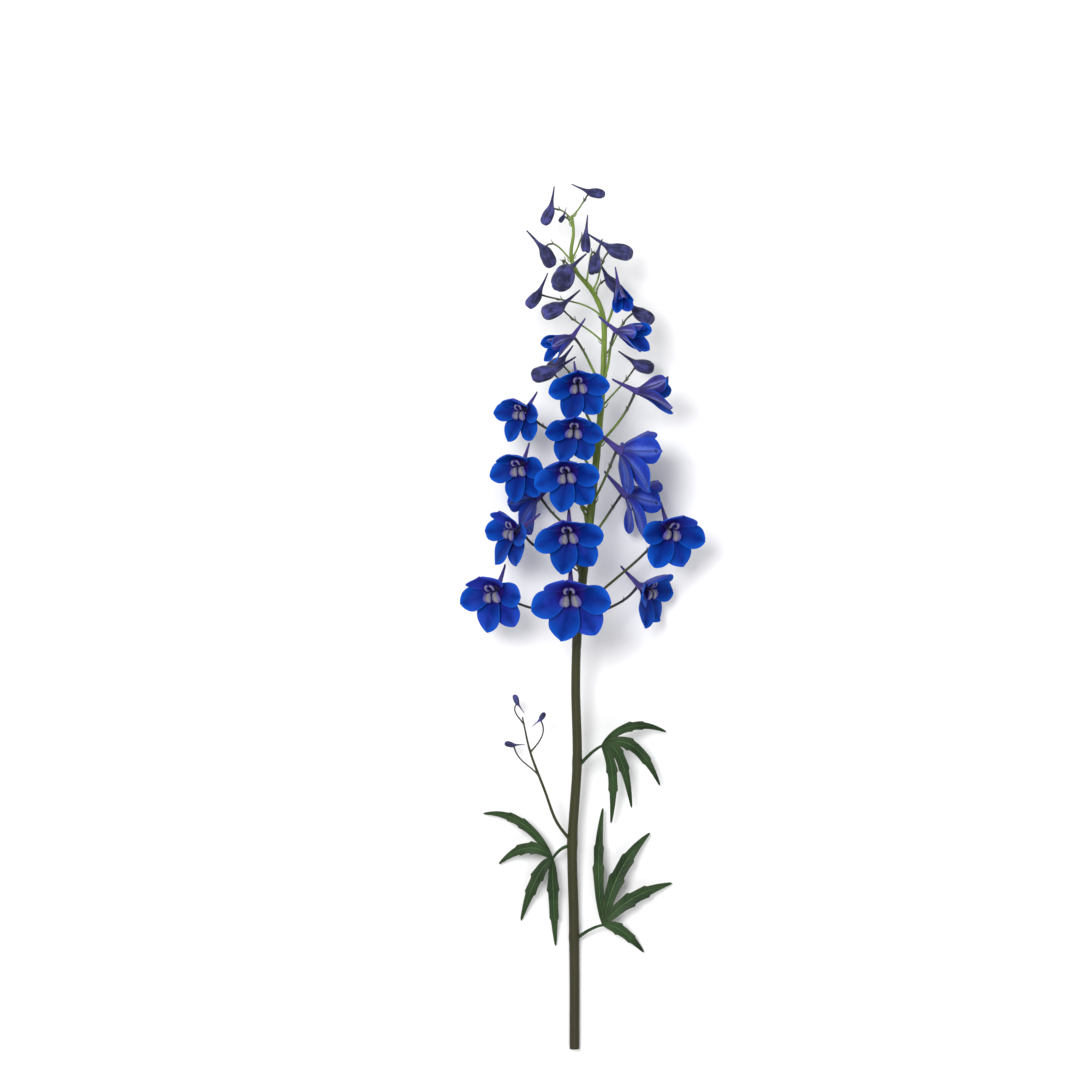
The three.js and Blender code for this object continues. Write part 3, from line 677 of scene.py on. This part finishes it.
petal_back = Finish("sepal back", Roughness=0.6, Specular_IOR_Level=0.12, Sheen_Weight=0.05)
across, along = petal_back.uv()
middle = abs(across - 0.5) * 2
where = petal_back.place()
flush = petal_back.attribute("flush")
cloud = petal_back.noise(where, 60)
streak = petal_streaks(petal_back, across, along)
mottle = petal_back.noise(where, 300, 4.0)
colour = petal_back.mix(cloud + (mottle - 0.5) * 0.4, shade("12268c"), shade("2044bc"))
violet = petal_back.smooth(flush + cloud + mottle * 0.5, 0.75, 1.25)
colour = petal_back.mix(violet * 0.8, colour, shade("432896"))
pale = petal_back.smooth(middle + along * 0.35 + mottle * 0.3, 0.85, 0.35)
colour = petal_back.mix(pale * 0.6, colour, shade("5f78d0"))
rim = petal_back.smooth(middle + along * 0.35 + cloud * 0.2, 0.95, 1.3)
colour = petal_back.mix(rim * 0.75, colour, shade("0546b8"))
midrib = petal_back.smooth(middle, 0.06, 0.02) * petal_back.smooth(along, 0.68, 0.5)
spot_x = (across - 0.5) * 18
spot_y = (along - 0.64) * 22
spot = petal_back.smooth(spot_x * spot_x + spot_y * spot_y + mottle * 1.5, 3.6, 1.4)
colour = petal_back.mix(petal_back.smooth(streak, 0.48, 0.68) * 0.5, colour, shade("1d1668"))
colour = petal_back.mix(petal_back.smooth(along, 0.24, 0.06) * 0.6, colour, shade("2a1c62"))
colour = petal_back.mix(midrib * 0.75, colour, shade("181240"))
colour = petal_back.mix(spot * 0.7, colour, shade("16113a"))
petal_back.surface(Base_Color=colour, Normal=petal_back.bump(streak, 0.3, 0.6))

spur_skin = Finish("spur", Roughness=0.6, Specular_IOR_Level=0.2, Sheen_Weight=0.1)
across, along = spur_skin.uv()
cloud = spur_skin.noise(spur_skin.place(), 120)
folds = spur_skin.noise(spur_skin.point(across * 26, along * 3), 1.0)
colour = spur_skin.mix(cloud, shade("2f2664"), shade("4b3f92"))
colour = spur_skin.mix(spur_skin.smooth(along, 0.2, 0.04) * 0.8, colour, shade("1a1240"))
colour = spur_skin.mix(spur_skin.smooth(along, 0.85, 1.0) * 0.6, colour, shade("2a2238"))
colour = spur_skin.mix(spur_skin.smooth(folds, 0.5, 0.7) * 0.4, colour, shade("1f184a"))
spur_skin.surface(Base_Color=colour, Normal=spur_skin.bump(folds, 0.3, 0.6))

finishes = (petal_face.material, petal_back.material, spur_skin.material)
for number, flower in enumerate(BLOOMS, 1):
    bloom = corolla(f"sepals_{number:02d}", flower, *finishes)
    settle(bloom, f"bloom_{number:02d}")

# ---- Eyes --------------------------------------------------------------------------------------
# In the throat of each bloom stand four small pale petals: two narrow ones bowed like a ring, and
# two broad, bearded ones below them, round a drooping bunch of dark stamens.

# Middle line and half width of the right petal of each pair, in its flower's own frame.
UPPER_PETAL = [
    [0.8, 0.5, 2.2, 0.4],
    [1.6, 1.2, 5.2, 0.5],
    [2.2, 1.9, 7.8, 0.7],
    [2.7, 3.4, 9.0, 0.85],
    [2.2, 5.2, 9.4, 0.95],
    [0.45, 6.1, 9.6, 0.8],
]
LOWER_PETAL = [
    [0.9, -0.6, 2.6, 0.4],
    [1.9, -0.3, 5.4, 0.8],
    [2.8, -0.4, 8.0, 2.0],
    [3.5, -2.2, 9.4, 2.85],
    [3.8, -4.6, 9.5, 2.9],
    [3.9, -6.5, 8.9, 1.5],
]
EYE_THICKNESS = 0.3
HAIRS = 80
HAIR_RADIUS = 0.06
HAIR_LENGTHS = (0.5, 1.2)
STAMENS = 13
FILAMENT = (0.28, 0.12)
ANTHER_RADIUS = 0.5
# Shares that an eye keeps in a closed flower and in a small one.
EYE_SPREAD = (0.2, 1)
EYE_SIZE = (0.4, 1)


def eye_petal(name, stations, side, across, notch, cup):
    """A petal on one side of the eye, notched at its tip and cupped across."""
    line = through(np.array(stations) * [side, 1, 1, 1], 8)

    def relief(u, v):
        sideways = 2 * u - 1
        return cup * sideways**2 - notch * np.exp(-((sideways / 0.3) ** 2)) * v**6

    crosswise = None if across is None else np.array(across) * [side, 1, 1]
    petal = blade(name, line[:, :3], line[:, 3], 14, across=crosswise, relief=relief)
    thicken(petal, EYE_THICKNESS)
    return petal


def spikes(name, roots, ends, radius):
    """Hairs: three-sided spikes from each root to its end."""
    along = unit(ends - roots)
    side = unit(np.cross(along, [0.2, 0.9, 0.4]))
    over = np.cross(along, side)
    corners = [roots + radius * (math.cos(a) * side + math.sin(a) * over) for a in (0, 2.09, 4.19)]
    places = np.stack([*corners, ends], axis=1).reshape(-1, 3) * MM
    faces = []
    for k in range(0, len(places), 4):
        faces += [(k, k + 1, k + 3), (k + 1, k + 2, k + 3), (k + 2, k, k + 3), (k + 2, k + 1, k)]
    mesh = bpy.data.meshes.new(name)
    mesh.from_pydata(places.tolist(), [], faces)
    piece = bpy.data.objects.new(name, mesh)
    bpy.context.collection.objects.link(piece)
    return piece


eye_pale = Finish("eye petal", Roughness=0.65, Specular_IOR_Level=0.2, Sheen_Weight=0.1)
across, along = eye_pale.uv()
speck = eye_pale.noise(eye_pale.place(), 700)
colour = eye_pale.mix(speck, shade("3c3b72"), shade("6c6c8c"))
cream = eye_pale.smooth(abs(across - 0.38) * 2 + speck * 0.3, 0.75, 0.25)
colour = eye_pale.mix(cream * 0.7, colour, shade("8a857e"))
colour = eye_pale.mix(eye_pale.smooth(along, 0.4, 0.15), colour, shade("2c2668"))
outer = eye_pale.smooth(across + speck * 0.3, 0.85, 1.15)
colour = eye_pale.mix(outer * 0.85, colour, shade("4438a4"))
rim = eye_pale.smooth(along + speck * 0.1, 0.9, 1.05)
colour = eye_pale.mix(rim * 0.7, colour, shade("3c3490"))
eye_pale.surface(Base_Color=colour, Normal=eye_pale.bump(speck, 0.15, 0.6))

beard = Finish("eye hairs", Roughness=0.7, Sheen_Weight=0.1)
colour = beard.mix(beard.noise(beard.place(), 900), shade("7a7874"), shade("b2b0a6"))
beard.surface(Base_Color=colour)

anther = Finish("stamens", Roughness=0.6)
colour = anther.mix(anther.noise(anther.place(), 1200), shade("100d18"), shade("2d2836"))
anther.surface(Base_Color=colour)

eye_parts = []
for side in (-1, 1):
    for petal in (
        eye_petal("upper_petal", UPPER_PETAL, side, None, 0.2, 0.25),
        eye_petal("lower_petal", LOWER_PETAL, side, [1, 0.1, 0], 0.9, -0.3),
    ):
        petal.data.materials.append(eye_pale.material)
        eye_parts.append(petal)
    spread_x = chance.normal(0, 1.0, HAIRS)
    spread_y = chance.normal(0, 1.3, HAIRS)
    out = spread_x * 0.77 * side - spread_y * 0.3 * side
    up = spread_x * 0.64 - spread_y
    tuft = np.column_stack([out, up, np.zeros(HAIRS)]) * 0.8
    roots = np.array([3.2 * side, -2.0, 9.3]) + tuft
    lean_x = chance.normal(-0.3 * side, 0.4, HAIRS)
    lean_y = chance.normal(0.2, 0.4, HAIRS)
    lean = np.column_stack([lean_x, lean_y, np.ones(HAIRS)])
    ends = roots + lean * chance.uniform(*HAIR_LENGTHS, (HAIRS, 1))
    hairs = spikes("beard", roots, ends, HAIR_RADIUS)
    hairs.data.materials.append(beard.material)
    eye_parts.append(hairs)
for _ in range(STAMENS):
    swing = chance.uniform(0, 2 * math.pi)
    reach = chance.uniform(0.3, 1.35)
    drop = -3.4 + math.sin(swing) * reach * 1.2
    end = np.array([math.cos(swing) * reach, drop, 6.6 + chance.uniform(-0.9, 0.9)])
    root = np.array([0.5 * math.cos(swing), 0.4 * math.sin(swing) - 0.3, 1.6])
    line = arc([root, root + [0, 0, 2.2], end], 8)
    radii = np.linspace(*FILAMENT, len(line))[:, None]
    filament = rod("filament", np.hstack([line, radii]), 5)
    near, far = end - [0.5, 0.3, 0], end + [0.5, 0.3, 0.1]
    head_line = through([[*near, 0.15], [*end, ANTHER_RADIUS], [*far, 0.15]], 3)
    head = rod("anther", head_line, 7)
    for bit in (filament, head):
        bit.data.materials.append(anther.material)
        eye_parts.append(bit)
pattern = join("eye_pattern", eye_parts)
model = np.empty((len(pattern.data.vertices), 3))
pattern.data.vertices.foreach_get("co", model.ravel())
model /= MM

for number, flower in enumerate(BLOOMS, 1):
    eye = pattern.copy()
    eye.data = pattern.data.copy()
    eye.name = f"eye_petals_{number:02d}"
    bpy.context.collection.objects.link(eye)
    spread = lerp(*EYE_SPREAD, flower["open"])
    points = model * [spread, spread, 1] * lerp(*EYE_SIZE, flower["scale"])
    eye.data.vertices.foreach_set("co", (on_spike(flower, points) * MM).ravel())
    eye.data.update()
    settle(eye, f"eye_{number:02d}")
bpy.data.objects.remove(pattern)

# ---- Opening flowers ---------------------------------------------------------------------------
# Towards the tip the flowers are still cups: the same five sepals, not yet spread, violet blue on
# the outside with pale stripes beside the midrib.

OPENING_ROWS = [
    [[40, 390, 46], [1, 0.06, 0.1], -10, 0.86, 0.55, 356],
    [[27, 427, 48], [0.9, -0.15, 0.5], 8, 0.76, 0.42, 398],
    [[-3, 423, 50], [-0.85, -0.42, 0.4], -8, 0.72, 0.36, 394],
    [[27, 455, 46], [0.2, -0.75, 0.65], 10, 0.6, 0.3, 430],
]
OPENING = [dict(zip(FLOWER_KEYS, row)) for row in OPENING_ROWS]

cup_back = Finish("half open sepal", Roughness=0.6, Specular_IOR_Level=0.2, Sheen_Weight=0.1)
across, along = cup_back.uv()
middle = abs(across - 0.5) * 2
cloud = cup_back.noise(cup_back.place(), 70)
streak = petal_streaks(cup_back, across, along)
colour = cup_back.mix(cup_back.smooth(cloud, 0.3, 0.7), shade("221a5c"), shade("3a38a2"))
stripe = cup_back.smooth(middle + along * 0.15, 0.5, 0.2)
colour = cup_back.mix(stripe * 0.65, colour, shade("7c80c4"))
rim = cup_back.smooth(middle, 0.75, 1.0)
colour = cup_back.mix(rim * 0.7, colour, shade("1c3cb8"))
colour = cup_back.mix(cup_back.smooth(along, 0.35, 0.05) * 0.8, colour, shade("2a2254"))
midrib = cup_back.smooth(middle, 0.09, 0.04) * cup_back.smooth(along, 0.72, 0.64)
colour = cup_back.mix(midrib * 0.85, colour, shade("19133c"))
colour = cup_back.mix(cup_back.smooth(streak, 0.5, 0.66) * 0.45, colour, shade("221c60"))
dark_tip = cup_back.smooth(along, 0.86, 0.97) * cup_back.smooth(middle, 0.5, 0.2)
colour = cup_back.mix(dark_tip, colour, shade("2c2a4a"))
cup_back.surface(Base_Color=colour, Normal=cup_back.bump(streak, 0.3, 0.6))

finishes = (petal_face.material, cup_back.material, spur_skin.material)
for number, flower in enumerate(OPENING, 1):
    cup = corolla(f"half_open_{number:02d}", flower, *finishes)
    settle(cup, f"opening_{number:02d}")

# ---- Buds --------------------------------------------------------------------------------------
# Closed buds with their sepals folded over one another into a blunt, creased end, and a spur that
# runs straight back. Slate indigo with a dull, downy skin, and pale painted highlights on it.

# Each bud: its middle, the way that it faces, its roll, its size, its girth, and the height at
# which its stalk leaves the stem.
BUD_KEYS = ("at", "face", "roll", "scale", "girth", "from")
BUD_ROWS = [
    [[-13, 403, 40], [-1, -0.25, 0.15], 0, 1.2, 1.25, 382],
    [[-8, 443, 44], [-0.8, -0.35, 0.4], 0, 1.2, 1.25, 420],
    [[-4, 466, 56.5], [-0.42, -0.8, 0.45], 200, 1.25, 1.6, 446],
    [[37, 441, 36], [0.85, -0.5, 0.1], 0, 1.1, 1.2, 412],
    [[21, 479, 45], [1, -0.28, 0.1], 0, 1.2, 1.25, 453],
    [[13, 474, 55], [-0.15, -0.95, 0.3], 180, 1.0, 1.15, 458],
    [[-20, 480, 41], [0.42, -0.9, 0.05], 180, 1.1, 1.2, 471],
    [[6.5, 488, 41], [0.02, -1, 0.05], 0, 0.92, 1.0, 473],
    [[-7, 499.5, 43], [-0.5, -0.75, 0.3], 0, 0.42, 1.1, 493],
    [[-14.5, 505, 41], [-0.43, -0.9, 0.05], 0, 0.98, 1.1, 497],
    [[8, 514.5, 40], [1, -0.13, 0.1], 0, 0.85, 1.1, 499],
    [[-22, 452, 36], [-0.6, -0.7, 0.2], 0, 1.0, 1.1, 436],
    [[20, 462, 27], [0.6, -0.6, -0.3], 0, 1.0, 1.1, 450],
    [[-8, 410, 22], [-0.5, -0.3, -0.7], 0, 1.1, 1.2, 388],
    [[38, 408, 26], [0.8, -0.2, -0.5], 0, 1.1, 1.2, 380],
]
BUDS = [dict(zip(BUD_KEYS, row)) for row in BUD_ROWS]
BUD = [
    [0, 4.5, -12.8, 0.25],
    [0, 4.3, -12.3, 0.42],
    [0, 2.9, -8, 0.68],
    [0, 1.7, -3.8, 1.05],
    [0, 0.6, -0.2, 1.9],
    [0, 0, 3, 3.0],
    [0, 0, 7.2, 3.3],
    [0, 0, 10.4, 2.95],
    [0, 0, 11.9, 2.3],
    [0, 0, 12.3, 1.3],
    [0, 0, 11.8, 0.15],
]
# Depth of the notch across a bud's end, its widest radius, and the slant of its end.
BUD_NOTCH = 0.9
BUD_WIDEST = 3.3
BUD_SLANT = 0.25
SEPALS_IN_BUD = 5
CREASE_WIDTH = 0.1


def closed_bud(name, bud):
    """A rod from the spur to the blunt end, creased along the sepals' edges."""
    line = through(BUD, 6)
    swollen = 1 / (1 + np.exp(-(line[:, 2] + 0.5) * 2))
    line[:, 3] *= lerp(1, bud["girth"], swollen)
    line *= bud["scale"]
    heights = line[:, 2] / bud["scale"]
    turn = chance.uniform(0, 2 * math.pi)
    line[:, :3] = on_spike(bud, line[:, :3])
    steps = len(line) + 1

    def folds(angle, v):
        k = np.clip(np.rint(v * steps).astype(int) - 1, 0, len(line) - 1)
        depth = 0.05 + 0.2 * np.clip((heights[k] - 1) / 11, 0, 1) ** 1.5
        depth *= (line[k, 3] / (BUD_WIDEST * bud["girth"] * bud["scale"])) ** 2
        lap = ((angle + turn + 0.12 * heights[k]) * SEPALS_IN_BUD / (2 * math.pi)) % 1
        crease = np.exp(-((np.minimum(lap, 1 - lap) / CREASE_WIDTH) ** 2))
        return 1 - depth * crease + 0.5 * depth * lap * (heights[k] > 0)

    body = rod(name, line, 40, folds)
    axes = flower_axes(bud)
    for vertex in body.data.vertices:
        x, _, z = axes @ (np.array(vertex.co) / MM - bud["at"]) / bud["scale"]
        end = min(max((z - 8) / 4, 0), 1) ** 2
        valley = BUD_NOTCH / bud["girth"] * math.exp(-((x / bud["girth"]) ** 2))
        dip = (BUD_SLANT * x - valley) * end * bud["scale"] * MM
        vertex.co += Vector(axes[2] * dip)
    return body


bud_skin = Finish("bud skin", Roughness=0.6, Specular_IOR_Level=0.2, Sheen_Weight=0.06)
across, along = bud_skin.uv()
cloud = bud_skin.noise(bud_skin.place(), 160)
down = bud_skin.noise(bud_skin.place(), 2600)
veins = bud_skin.noise(bud_skin.point(across * 34, along * 2.5), 1.0, 4.0)
colour = bud_skin.mix(bud_skin.smooth(cloud, 0.3, 0.7), shade("1e1f44"), shade("46487c"))
colour = bud_skin.mix(bud_skin.smooth(veins, 0.46, 0.62) * 0.65, colour, shade("15152e"))
# Painted highlight: pale lilac streaks between the dark veins.
colour = bud_skin.mix(bud_skin.smooth(veins, 0.42, 0.3) * 0.4, colour, shade("6265a0"))
# Painted highlight: pale violet patches where the cloud is high, more of them towards the blunt
# end.
painted_highlight = bud_skin.smooth(cloud + along * 0.2, 0.62, 0.8)
colour = bud_skin.mix(painted_highlight * 0.5, colour, shade("4c4b9c"))
dark_end = bud_skin.smooth(along + cloud * 0.1, 0.86, 0.98)
colour = bud_skin.mix(dark_end * 0.8, colour, shade("181a38"))
colour = bud_skin.mix(bud_skin.smooth(along, 0.3, 0.05) * 0.5, colour, shade("2c2744"))
bud_skin.surface(Base_Color=colour, Normal=bud_skin.bump(down * 0.3 + veins, 0.2, 0.6))


def grow_bud(name, bud, node):
    """A bud in its skin, in the place of a node of the frame."""
    body = closed_bud(name, bud)
    body.data.materials.append(bud_skin.material)
    settle(join(name, [body]), node)


for number, bud in enumerate(BUDS, 1):
    grow_bud(f"closed_bud_{number:02d}", bud, f"bud_{number:02d}")

# ---- Side shoot --------------------------------------------------------------------------------
# A thin green shoot grows out of the stem low down and carries three tiny buds of its own, made
# as the others are. It becomes part of the stem below, and only its buds are pieces here.

SHOOT = [
    [-3, 108, 11.5, 1.0],
    [-12, 121, 17, 0.95],
    [-19, 140, 20, 0.85],
    [-28, 164, 20, 0.75],
    [-33, 186, 17, 0.45],
]
# As the rows of buds, but the last number is a share of the way along the shoot.
SHOOT_BUD_ROWS = [
    [[-38, 168, 16], [-0.9, 0.2, -0.1], 0, 0.5, 1.1, 0.6],
    [[-22, 184, 20], [0.5, 0.8, 0.1], 0, 0.46, 1.1, 0.75],
    [[-36, 194, 15], [-0.3, 0.9, -0.1], 0, 0.5, 1.1, 0.96],
]
SHOOT_BUDS = [dict(zip(BUD_KEYS, row)) for row in SHOOT_BUD_ROWS]

shoot_line = through(SHOOT, 10)
shoot = rod("side_shoot", shoot_line, 14)
for number, bud in enumerate(SHOOT_BUDS, 1):
    grow_bud(f"tiny_bud_{number:02d}", bud, f"shoot_bud_{number:02d}")

# ---- Flower stalks and bracts ------------------------------------------------------------------
# Each flower and bud hangs on its own thin stalk, which leaves the stem in the angle of a narrow
# bract and bears two smaller ones. All of it is one grown piece with the stem.

FLOWER_BACK = [0, -0.8, -3.5]
FLOWER_ARRIVAL = [0, 0.92, 0.39]
BUD_BACK = [0, -1.55, 0.2]
BUD_ARRIVAL = [0, 0.9, 0.43]
FLOWER_STALK = 0.82
BUD_STALK = 0.55
SHOOT_STALK = 0.48
SEAT = 0.5
STALK_CLIMB = 1.07
BRACT_THICKNESS = 0.3
BRACT_WIDTH = 0.055
# Points along a stalk, and the side of it on which a small bract stands there.
SMALL_BRACTS_AT = ((19, 1), (20, -1))
BRACTS_SHRINK_TO = 430


def stalk(start, flower, back, arrival, radius):
    """A stalk from the stem to a point behind the flower, and its centre line."""
    axes = flower_axes(flower)
    inwards = unit(np.array(arrival) @ axes)
    back = np.array(back) * flower["scale"] * [1, flower.get("girth", 1), 1]
    end = on_spike(flower, back)
    leaving = unit((end - start) * [1, 0, 1])
    leaving = unit(leaving + [0, STALK_CLIMB, 0])
    reach = 0.4 * np.linalg.norm(end - start)
    line = arc([start, start + leaving * reach, end - inwards * reach, end + inwards * SEAT], 28)
    t = np.linspace(0, 1, len(line))
    radii = radius * (1 + 0.7 * (1 - t) ** 12 + 0.35 * t**16)
    return rod("stalk", np.hstack([line, radii[:, None]]), 10), line


def bract(root, away, length):
    """A narrow pointed scale, folded along its middle, that bends up from its root."""
    tip = root + unit(away + np.array([0, 0.5, 0])) * length
    bend = root + unit(away) * length * 0.5 - np.array([0, 0.1, 0]) * length
    line = arc([root, bend, tip], 12)
    t = np.linspace(0, 1, len(line))
    widths = BRACT_WIDTH * length * np.sin(math.pi * (0.18 + 0.82 * t)) ** 0.8 + 0.03
    piece = blade("bract", line, widths, 4, fold=0.5)
    thicken(piece, BRACT_THICKNESS)
    return piece


def shaded_rod(piece, line, start, end):
    """Marks a rod with a number that runs from start to end along its line."""
    points = np.array([vertex.co for vertex in piece.data.vertices]) / MM
    nearest = np.argmin(((points[:, None] - line[None]) ** 2).sum(axis=2), axis=1)
    tint(piece, "away", lerp(start, end, nearest / (len(line) - 1)).astype(np.float32))


green_parts = [shoot]
shaded_rod(shoot, shoot_line[:, :3], 0, 0.5)
for flowers, back, arrival, radius, darkest in (
    (BLOOMS + OPENING, FLOWER_BACK, FLOWER_ARRIVAL, FLOWER_STALK, 1.0),
    (BUDS, BUD_BACK, BUD_ARRIVAL, BUD_STALK, 0.9),
):
    for flower in flowers:
        start = stem_point(flower["from"])
        one, line = stalk(start[:3], flower, back, arrival, radius)
        shaded_rod(one, line, 0, darkest)
        leaving = unit(line[2] - line[0])
        below = BRACTS_SHRINK_TO - min(flower["from"], BRACTS_SHRINK_TO)
        size = 3.4 + 7 * flower["scale"] * below / 200
        root = start[:3] + leaving * [1, 0, 1] * start[3] * 0.9
        leafy_bract = bract(root, leaving * [1, 0.2, 1], size)
        tint(leafy_bract, "away", 0.25)
        green_parts += [one, leafy_bract]
        for point, turn in SMALL_BRACTS_AT:
            ahead = unit(line[point + 1] - line[point])
            sideways = unit(np.cross(ahead, [0, 0, 1])) * turn
            small = bract(line[point], ahead + sideways * 0.6, 2.0 + 1.4 * flower["scale"])
            tint(small, "away", darkest)
            green_parts.append(small)
for bud in SHOOT_BUDS:
    start = shoot_line[int(bud["from"] * (len(shoot_line) - 1)), :3]
    one, line = stalk(start, bud, BUD_BACK, BUD_ARRIVAL, SHOOT_STALK)
    shaded_rod(one, line, 0.3, 0.9)
    green_parts.append(one)
for part in green_parts:
    part.data.materials.append(green.material)
tint(stem, "away", 0)
stem = join("stem_and_stalks", [stem, *green_parts])
settle(stem, "stem")

# ---- Table, light and camera -------------------------------------------------------------------
# The spike lies loose on a plain pale table, under one large soft light, a weaker one from the
# other side and an even white surround. The camera hangs over the table and looks straight down.

FRAME_MIDDLE = (-0.0219, 0.2975)
FRAME_WIDTH = 0.675
STEM_HEIGHT = 0.036
CAMERA_HEIGHT = 2.4
SENSOR = 36
LIGHTS_AIM = (0, 0.3, 0)
SURROUND = 0.56

bpy.ops.object.select_all(action="DESELECT")
bpy.ops.mesh.primitive_plane_add(size=8, location=(0, 0, 0))
table = bpy.context.active_object
table.name = "table"
paper = Finish("table", Roughness=0.9, Specular_IOR_Level=0.1)
colour = paper.mix(paper.noise(paper.place(), 3), shade("f4f4f5"), shade("fafafa"))
paper.surface(Base_Color=colour)
table.data.materials.append(paper.material)


def softbox(name, place, size, watts):
    light = bpy.data.objects.new(name, bpy.data.lights.new(name, "AREA"))
    light.data.shape = "DISK"
    light.data.size = size
    light.data.energy = watts
    light.location = place
    direction = np.array(LIGHTS_AIM) - place
    light.rotation_euler = (
        math.acos(-direction[2] / np.linalg.norm(direction)),
        0,
        math.atan2(direction[0], -direction[1]) + math.pi,
    )
    bpy.context.collection.objects.link(light)


softbox("key_light", (-0.6, 0.75, 1.9), 0.9, 30)
softbox("fill_light", (0.5, -1.0, 1.6), 1.4, 12)
world = bpy.data.worlds.new("studio")
world.use_nodes = True
surround = world.node_tree.nodes["Background"]
surround.inputs["Color"].default_value = (1, 1, 1, 1)
surround.inputs["Strength"].default_value = SURROUND
bpy.context.scene.world = world

camera = bpy.data.objects.new("camera", bpy.data.cameras.new("camera"))
camera.data.sensor_width = SENSOR
camera.data.lens = SENSOR * (CAMERA_HEIGHT - STEM_HEIGHT) / FRAME_WIDTH
camera.location = (*FRAME_MIDDLE, CAMERA_HEIGHT)
bpy.context.collection.objects.link(camera)
bpy.context.scene.camera = camera
bpy.context.scene.view_settings.view_transform = "Standard"

bpy.context.view_layer.update()
